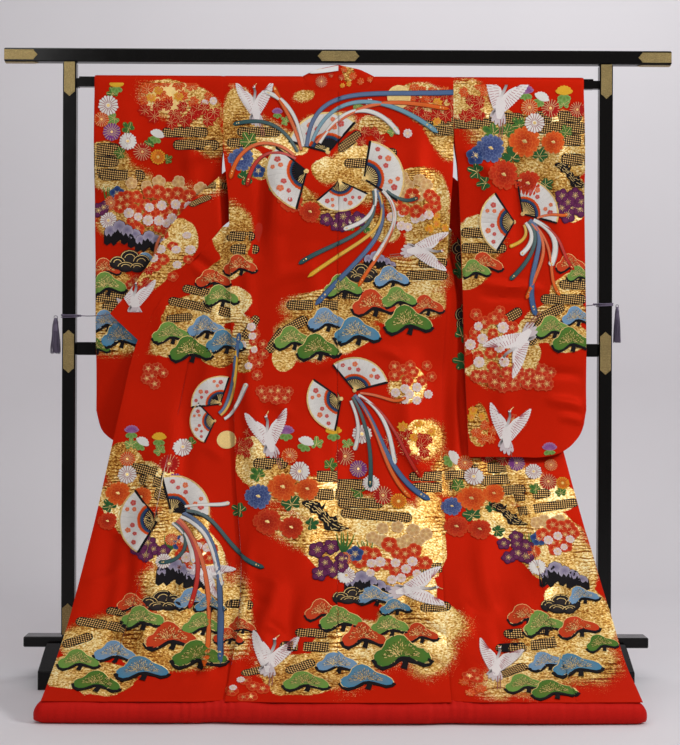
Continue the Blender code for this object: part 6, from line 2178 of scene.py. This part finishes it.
@dataclass
class HemRoll:
    """The padded roll of lining silk along the whole hem."""

    wardrobe: Wardrobe
    drape: Drape
    around: int = 28
    step: float = 0.005
    swell: float = 0.0030
    voxel: float = 0.0048
    frames: int = 20

    DRAWN = 0.45                   # how much of each gather's depth is drawn in
    # Each gather's place, width and depth, then each soft lap's place, width and rise.
    GATHERS = ((-0.372, 0.007, 0.16), (-0.352, 0.006, 0.22), (-0.334, 0.007, 0.18), (-0.316, 0.006, 0.24),
               (-0.298, 0.007, 0.26), (-0.281, 0.006, 0.22), (-0.262, 0.007, 0.18), (-0.243, 0.006, 0.14),
               (0.226, 0.006, 0.16), (0.243, 0.007, 0.20), (0.262, 0.006, 0.26), (0.281, 0.007, 0.24),
               (0.298, 0.006, 0.20), (0.318, 0.007, 0.16), (0.338, 0.006, 0.12), (-0.560, 0.012, 0.08),
               (-0.470, 0.010, 0.08), (-0.150, 0.012, 0.07), (-0.060, 0.010, 0.06), (0.075, 0.012, 0.08),
               (0.150, 0.010, 0.06), (0.440, 0.012, 0.08), (0.540, 0.010, 0.07), (0.640, 0.010, 0.06))
    LAPS = ((-0.300, 0.075, 0.0070), (-0.220, 0.040, 0.0040), (0.275, 0.070, 0.0060), (-0.600, 0.080, 0.0020),
            (0.520, 0.100, 0.0020), (0.020, 0.060, 0.0015))

    def ring(self, x: float, grow: float) -> list[Triple]:
        """Points round the roll at one place along it.

        Args:
            x: the place.
            grow: how much its section stands out from the solid's.

        Returns:
            The points, anticlockwise from behind its left end.
        """
        size = self.drape.roll_at["size"](x)
        lap = 0.0030 + sum(rise * math.exp(-(((x - at) / width) ** 2)) for at, width, rise in self.LAPS)
        high = ROLL_HEIGHT * (0.35 + 0.65 * size) + grow + lap * ease(size, 0.72, 0.92)
        half_y = ROLL_DEPTH / 2 * size + grow
        middle = ROLL_HEIGHT / 2 * (0.55 + 0.45 * size)
        points = []
        for k in range(self.around):
            a = 2 * math.pi * (k + 0.5) / self.around
            y = -self.drape.roll_at["swing"](x) - half_y * math.cos(a) + STAND_Y
            z = middle + ((high - middle if a < math.pi else high / 2) * 1.06) * math.sin(a)
            low = 0.0 if size > 0.9 else 0.004
            points.append((x, y, min(max(z, low), high)))
        return points

    def tube(self, grow: float) -> tuple[list[Triple], FaceList]:
        """The closed roll as points and faces."""
        first, last = ROLL_ROWS[0].x, ROLL_ROWS[-1].x
        count = math.ceil((last - first) / self.step)
        ends = (0.0, 0.0035, 0.0080, 0.0160, 0.0240)
        stations = [first + e for e in ends] + [mix(first, last, k / count) for k in range(3, count - 2)]
        stations += [last - e for e in reversed(ends)]
        points = [p for x in stations for p in self.ring(x, grow)]
        n = self.around
        faces = [f[::-1] for f in ring_faces(len(stations), n)]
        faces.append(tuple(range(n)))
        faces.append(tuple(range(len(points) - 1, len(points) - n - 1, -1)))
        return points, faces

    def make(self) -> None:
        """Builds the roll, and lets the wadding swell it."""
        points, faces = self.tube(-0.0015)
        roll = build("hem_padding", np.array(points), faces, (self.wardrobe.hem,), "lining", ("hem_roll",), crisp=80.0)
        mesh = roll.data
        shell = bmesh.new()
        shell.from_mesh(mesh)
        bmesh.ops.recalc_face_normals(shell, faces=shell.faces)
        shell.to_mesh(mesh)
        shell.free()
        self.inflate(roll)
        self.gather(roll)
        smooth = roll.modifiers.new("smooth", "SUBSURF")
        smooth.levels = smooth.render_levels = 1
        self.apply(roll)
        roll.data.shade_smooth()

    def gather(self, roll: Piece) -> None:
        """Draws the silk in at each gather."""
        at = self.points_of(roll)
        pull = self.DRAWN * sum(depth * np.exp(-(((at[:, 0] - x) / width) ** 2)) for x, width, depth in self.GATHERS)
        swing = np.interp(at[:, 0], [r.x for r in ROLL_ROWS], [r.swing for r in ROLL_ROWS])
        at[:, 1] += (STAND_Y - swing - at[:, 1]) * pull
        at[:, 2] -= np.maximum(at[:, 2] - ROLL_HEIGHT / 2, 0.0) * pull
        roll.data.vertices.foreach_set("co", at.ravel())
        roll.data.update()

    def inflate(self, roll: Piece) -> None:
        """Remeshes the roll evenly, swells it with pressure inside and keeps the result."""
        remesh = roll.modifiers.new("even", "REMESH")
        remesh.mode, remesh.voxel_size = "VOXEL", self.voxel
        self.apply(roll)
        before = self.points_of(roll)
        cloth = roll.modifiers.new("wadding", "CLOTH")
        cloth.settings.quality = 4
        cloth.settings.use_pressure = True
        cloth.settings.uniform_pressure_force = 4.0
        cloth.settings.effector_weights.gravity = 0.0
        cloth.settings.tension_stiffness = 20.0
        cloth.settings.bending_stiffness = 0.2
        cloth.point_cache.frame_start, cloth.point_cache.frame_end = 1, self.frames
        for number in range(1, self.frames + 1):
            bpy.context.scene.frame_set(number)
        self.apply(roll)
        bpy.context.scene.frame_set(1)
        move = self.points_of(roll) - before
        far = np.maximum(np.linalg.norm(move, axis=1, keepdims=True) / self.swell, 1.0)
        after = before + move / far
        after[:, 2] = np.maximum(after[:, 2], 0.0)
        roll.data.vertices.foreach_set("co", after.ravel())

    @staticmethod
    def points_of(piece: Piece) -> np.ndarray:
        """The places of a piece's points."""
        at = np.empty(len(piece.data.vertices) * 3)
        piece.data.vertices.foreach_get("co", at)
        return at.reshape(-1, 3)

    @staticmethod
    def apply(piece: Piece) -> None:
        """Keeps what a piece's modifiers make, and takes them off."""
        held = bpy.data.meshes.new_from_object(piece.evaluated_get(bpy.context.evaluated_depsgraph_get()))
        piece.modifiers.clear()
        piece.data = held


# ---------------------------------------------------------------- cords
def tube(path: np.ndarray, radius: float, sides: int = 10, strands: int = 3, twist: float = 0.0,
         closed: bool = False) -> tuple[np.ndarray, FaceList]:
    """A twisted cord's surface along a path.

    Args:
        path: its middle.
        radius: half its thickness.
        sides: how many points go round it.
        strands: how many strands it is laid from.
        twist: turns of the strands to a metre.
        closed: whether it joins its own start.

    Returns:
        Its points and faces.
    """
    tangent = np.gradient(path, axis=0)
    if closed:
        tangent = np.roll(path, -1, axis=0) - np.roll(path, 1, axis=0)
    tangent /= np.linalg.norm(tangent, axis=1, keepdims=True)
    side = np.cross(tangent[0], (0.0, 0.0, 1.0) if abs(tangent[0][2]) < 0.9 else (1.0, 0.0, 0.0))
    points = []
    for p, t, s in zip(path, tangent, along(path)):
        side = side - t * np.dot(side, t)
        side /= np.linalg.norm(side)
        up = np.cross(t, side)
        for k in range(sides):
            a = 2 * math.pi * k / sides
            r = radius * (0.90 + 0.10 * math.cos(strands * (a - 2 * math.pi * twist * s)))
            points.append(p + side * (r * math.cos(a)) + up * (r * math.sin(a)))
    faces = ring_faces(len(path), sides, closed)
    if not closed:
        faces += [tuple(reversed(range(sides))), tuple(range((len(path) - 1) * sides, len(path) * sides))]
    return np.array(points), faces


def joined(parts: Iterable[tuple[np.ndarray, FaceList]]) -> tuple[np.ndarray, FaceList]:
    """Several sets of points and faces as one."""
    points, faces, count = [], [], 0
    for more, its_faces in parts:
        points.append(more)
        faces += [tuple(k + count for k in f) for f in its_faces]
        count += len(more)
    return np.concatenate(points), faces


@dataclass
class TieCord:
    """The cord that draws one front out: wound round the post, knotted, and ending in a tassel."""

    wardrobe: Wardrobe
    side: Side
    wrap_z: float
    end: Triple
    tassel_width: float
    thickness: float = 0.0026
    wound: float = 0.0034
    off_post: float = 0.0022
    sag: float = 0.0020
    WOUND_TURNS = ((0.0, 0.0), (0.0030, 0.0003), (-0.0030, 0.0002))      # how far up and out each turn lies
    FROM_WINDING = 0.0024              # how far inside the winding the cord begins
    WAVE = 0.0012                      # how far a turn rises and falls on its way round
    KNOT_CORD, KNOT_SIZE = 0.0014, (0.0016, 0.0014, 0.0020)              # half its thickness, and its reach
    BINDING = ((-0.010, 0.42), (-0.0125, 0.44), (-0.015, 0.42))          # each round's height and reach
    BINDING_CORD, RING_CORD, STRAND = 0.0011, 0.0010, 0.00085
    STRANDS, GOLDEN = 54, 0.618034     # how many strands, and the share of a turn from one to the next
    STRAND_FROM, STRAND_TO = 0.006, (0.092, 0.098)                       # below the tassel's top
    SWAY = 0.0006                      # how far a strand swings aside
    # the head's outline from its top down: the share of the tassel's half width, and the height
    HEAD = ((0.04, 0.001), (0.30, -0.001), (0.40, -0.006), (0.37, -0.013), (0.46, -0.020), (0.50, -0.035))

    def around_post(self, z: float, count: int = 40, out: float = 0.0) -> np.ndarray:
        """A loop that lies close round the post."""
        x = self.side.value * POST_X
        half_x, half_y = POST_WIDTH / 2 + self.off_post + out, POST_DEPTH / 2 + self.off_post + out
        loop = []
        for k in range(count):
            a = 2 * math.pi * k / count
            c, s = math.cos(a), math.sin(a)
            square = (abs(c) ** 8 + abs(s) ** 8) ** 0.125
            loop.append((x + half_x * c / square, STAND_Y + half_y * s / square, z + self.WAVE * math.sin(a + z * 900)))
        return np.array(loop)

    def make(self) -> None:
        sign, z = self.side.value, self.wrap_z
        out_x = POST_WIDTH / 2 + self.off_post
        winding = build(f"post_winding_{self.side.word}", *joined(
            [tube(self.around_post(z + dz, out=out), self.wound / 2, 8, 3, 180.0, True)
             for dz, out in self.WOUND_TURNS]), (self.wardrobe.cord,), "cord", (f"wrap_{self.side.word}",))
        start = np.array([sign * (POST_X - out_x - self.FROM_WINDING), STAND_Y - 0.006, z + 0.0005])
        finish = np.array([sign * self.end[0], self.end[1] + STAND_Y, self.end[2]])
        knot_at = start + np.array([-sign * 0.0050, -0.0035, 0.0])
        t = np.linspace(0, 2 * math.pi, 49)[:-1]
        trefoil = np.stack([np.sin(t) + 2 * np.sin(2 * t), np.cos(t) - 2 * np.cos(2 * t), -np.sin(3 * t)], axis=1)
        knot = build(f"cord_knot_{self.side.word}", *tube(knot_at + trefoil * np.array(self.KNOT_SIZE),
                     self.KNOT_CORD, 8, 3, 200.0, True), (self.wardrobe.cord,), "cord")
        share = np.linspace(0, 1, 25)[:, None]
        path = start + (finish - start) * share - np.array([0, 0, self.sag]) * np.sin(np.pi * share)
        strand = build(f"tie_cord_{self.side.word}", *tube(path, self.thickness / 2, 8, 3, 160.0),
                       (self.wardrobe.cord,), "cord", (f"cord_{self.side.word}",))
        self.tassel(out_x)

    def tassel(self, out_x: float) -> None:
        """The tassel: a bound head over a skirt of loose strands."""
        sign, r = self.side.value, self.tassel_width / 2
        top = np.array([sign * (POST_X + out_x + 0.0020 + r), STAND_Y - 0.004, self.wrap_z - 0.006])
        parts = []
        for dz, radius in self.BINDING:
            a = np.linspace(0, 2 * math.pi, 25)[:-1]
            band = np.stack([np.cos(a) * radius * r, np.sin(a) * radius * r, np.full(24, dz)], axis=1)
            parts.append(tube(top + band, self.BINDING_CORD, 6, 1, 0.0, True))
        loop = np.linspace(0, 2 * math.pi, 25)[:-1]
        square = (np.abs(np.cos(loop)) ** 4 + np.abs(np.sin(loop)) ** 4) ** 0.25
        ring = np.stack([np.cos(loop) / square * 0.30 * r, 0 * loop, 0.0005 + np.sin(loop) / square * 0.0055], axis=1)
        parts.append(tube(top + ring, self.RING_CORD, 6, 3, 200.0, True))
        rng = np.random.default_rng(17 if sign < 0 else 23)
        for k in range(self.STRANDS):
            a = 2 * math.pi * k * self.GOLDEN
            depth = math.sqrt((k + 0.5) / self.STRANDS)
            hang = rng.uniform(*self.STRAND_TO)
            down = np.linspace(0.0, 1.0, 8)
            spread = r * depth * (0.34 + 0.62 * down ** 0.7)
            sway = self.SWAY * np.sin(down * rng.uniform(4, 9) + rng.uniform(0, 6))
            line = np.stack([math.cos(a) * spread + sway, math.sin(a) * spread * 0.8 + sway,
                             -self.STRAND_FROM - (hang - self.STRAND_FROM) * down], axis=1)
            parts.append(tube(top + line, self.STRAND, 4, 1))
        shape, n = [], 16
        for radius, dz in self.HEAD:
            shape += [(math.cos(2 * math.pi * k / n) * radius * r, math.sin(2 * math.pi * k / n) * radius * r, dz)
                      for k in range(n)]
        faces = [(a, d, c, b) for a, b, c, d in ring_faces(len(self.HEAD), n)]
        faces += [tuple(range(n)), tuple(reversed(range((len(self.HEAD) - 1) * n, len(self.HEAD) * n)))]
        parts.append((top + np.array(shape), faces))
        build(f"tassel_strands_{self.side.word}", *joined(parts), (self.wardrobe.cord,), "cord",
              (f"tassel_{self.side.word}",))


# ---------------------------------------------------------------- the stand
@dataclass
class Stand:
    """The lacquered stand and its gilt plates: the solids keep their shapes and take their finishes."""

    wardrobe: Wardrobe
    wood: Sequence[str] = ("top_rail", "middle_rail", "bottom_beam", "hanging_rod", "post_", "foot_")
    metal: Sequence[str] = ("plate_", "cap_")

    def dress(self) -> None:
        """Gives every part of the stand its finish."""
        for name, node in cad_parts.items():
            finish = self.wardrobe.lacquer if name.startswith(tuple(self.wood)) else None
            finish = self.wardrobe.gilt if name.startswith(tuple(self.metal)) else finish
            if finish is not None:
                node.data.materials.clear()
                node.data.materials.append(finish)
                LOG.info("%s: %s", name, finish.name)


# ---------------------------------------------------------------- the studio
@dataclass
class Studio:
    """Camera, soft lights, pale floor and backdrop."""

    wardrobe: Wardrobe
    distance: float = 4.222
    eye: float = 0.830
    aside: float = 0.0073
    focal: float = 75.0
    turn: float = math.radians(0.5)
    roll: float = math.radians(-0.21)
    wall_y: float = 2.6
    bend: float = 0.8
    SENSOR = 36.0                      # the camera's film, in millimetres across
    FLOOR_FROM, WALL_TOP, HALF_WIDTH = -7.0, 6.0, 8.0                    # how far the sweep reaches
    UNDER = 0.0002                     # how far below the stand's feet it lies
    BENDS = 12                         # steps in its curve
    LAMPS = (("key", (3.1, -2.0, 3.0), (0.0, 0.1, 0.9), (0.8, 0.8), 80.0),
             ("fill", (-2.2, -3.6, 2.6), (0.0, 0.1, 0.8), (1.6, 1.6), 24.0),
             ("front", (0.0, -3.2, 4.4), (0.0, 0.0, 0.9), (3.2, 1.2), 33.0),
             ("top", (0.0, -0.9, 4.2), (0.0, -0.7, 0.0), (3.4, 1.0), 19.0),
             ("backdrop", (0.6, 0.9, 3.6), (0.2, 2.6, 1.2), (4.0, 0.8), 32.0))
    AMBIENT, AMBIENT_STRENGTH = (1.0, 0.97, 0.955, 1.0), 0.20

    def place_camera(self) -> None:
        """Sets the camera before the stand, level and a little to its left."""
        data = bpy.data.cameras.new("studio_camera")
        data.lens, data.sensor_width = self.focal, self.SENSOR
        camera = bpy.data.objects.new("studio_camera", data)
        bpy.context.scene.collection.objects.link(camera)
        c, s = math.cos(self.turn), math.sin(self.turn)
        camera.location = (self.aside * c - self.distance * s, STAND_Y - self.distance * c - self.aside * s, self.eye)
        camera.rotation_mode = "XYZ"
        camera.rotation_euler = (math.pi / 2, self.roll, -self.turn)
        bpy.context.scene.camera = camera

    def light(self, name: str, at: Sequence[float], aim: Sequence[float], size: Sequence[float],
              power: float) -> None:
        """Hangs one soft box.

        Args:
            name: its name.
            at, aim: where it is and what it faces.
            size: width and height.
            power: watts.
        """
        data = bpy.data.lights.new(name, "AREA")
        data.shape, data.size, data.size_y, data.energy = "RECTANGLE", size[0], size[1], power
        lamp = bpy.data.objects.new(name, data)
        bpy.context.scene.collection.objects.link(lamp)
        lamp.location = at
        lamp.rotation_euler = (Vector(aim) - Vector(at)).to_track_quat("-Z", "Y").to_euler()

    def sweep(self) -> None:
        """The floor, carried up into the backdrop in one curve."""
        profile = [(self.FLOOR_FROM, 0.0), (self.wall_y - self.bend, 0.0)]
        for k in range(1, self.BENDS + 1):
            a = math.pi / 2 * k / self.BENDS
            profile.append((self.wall_y - self.bend + self.bend * math.sin(a), self.bend * (1 - math.cos(a))))
        profile.append((self.wall_y, self.WALL_TOP))
        points = [(x, y, z - self.UNDER) for y, z in profile for x in (-self.HALF_WIDTH, self.HALF_WIDTH)]
        faces = [(2 * k, 2 * k + 1, 2 * k + 3, 2 * k + 2) for k in range(len(profile) - 1)]
        mesh = bpy.data.meshes.new("studio_sweep")
        mesh.from_pydata(points, [], faces)
        mesh.materials.append(self.wardrobe.paper)
        mesh.shade_smooth()
        floor = bpy.data.objects.new("studio_sweep", mesh)
        bpy.context.scene.collection.objects.link(floor)

    def make(self) -> None:
        """Builds the studio."""
        self.place_camera()
        self.sweep()
        for lamp in self.LAMPS:
            self.light(*lamp)
        world = bpy.data.worlds.new("studio")
        bpy.context.scene.world = world
        world.use_nodes = True
        background = world.node_tree.nodes["Background"]
        background.inputs["Color"].default_value = self.AMBIENT
        background.inputs["Strength"].default_value = self.AMBIENT_STRENGTH
        bpy.context.scene.view_settings.view_transform = "Standard"


def main() -> None:
    """Builds every piece in order."""
    logging.basicConfig(level=logging.INFO, format="%(message)s")
    wardrobe = Wardrobe()
    Studio(wardrobe).make()
    drape = Drape()
    TieCord(wardrobe, Side.LEFT, 0.9810, (0.6120, -0.0535, 0.9830), 0.0300).make()
    TieCord(wardrobe, Side.RIGHT, 1.0170, (0.6215, 0.0035, 1.0120), 0.0230).make()
    Garment(wardrobe, drape, Picture()).build_all()
    HemRoll(wardrobe, drape).make()
    Stand(wardrobe).dress()


if __name__ == "__main__":
    main()
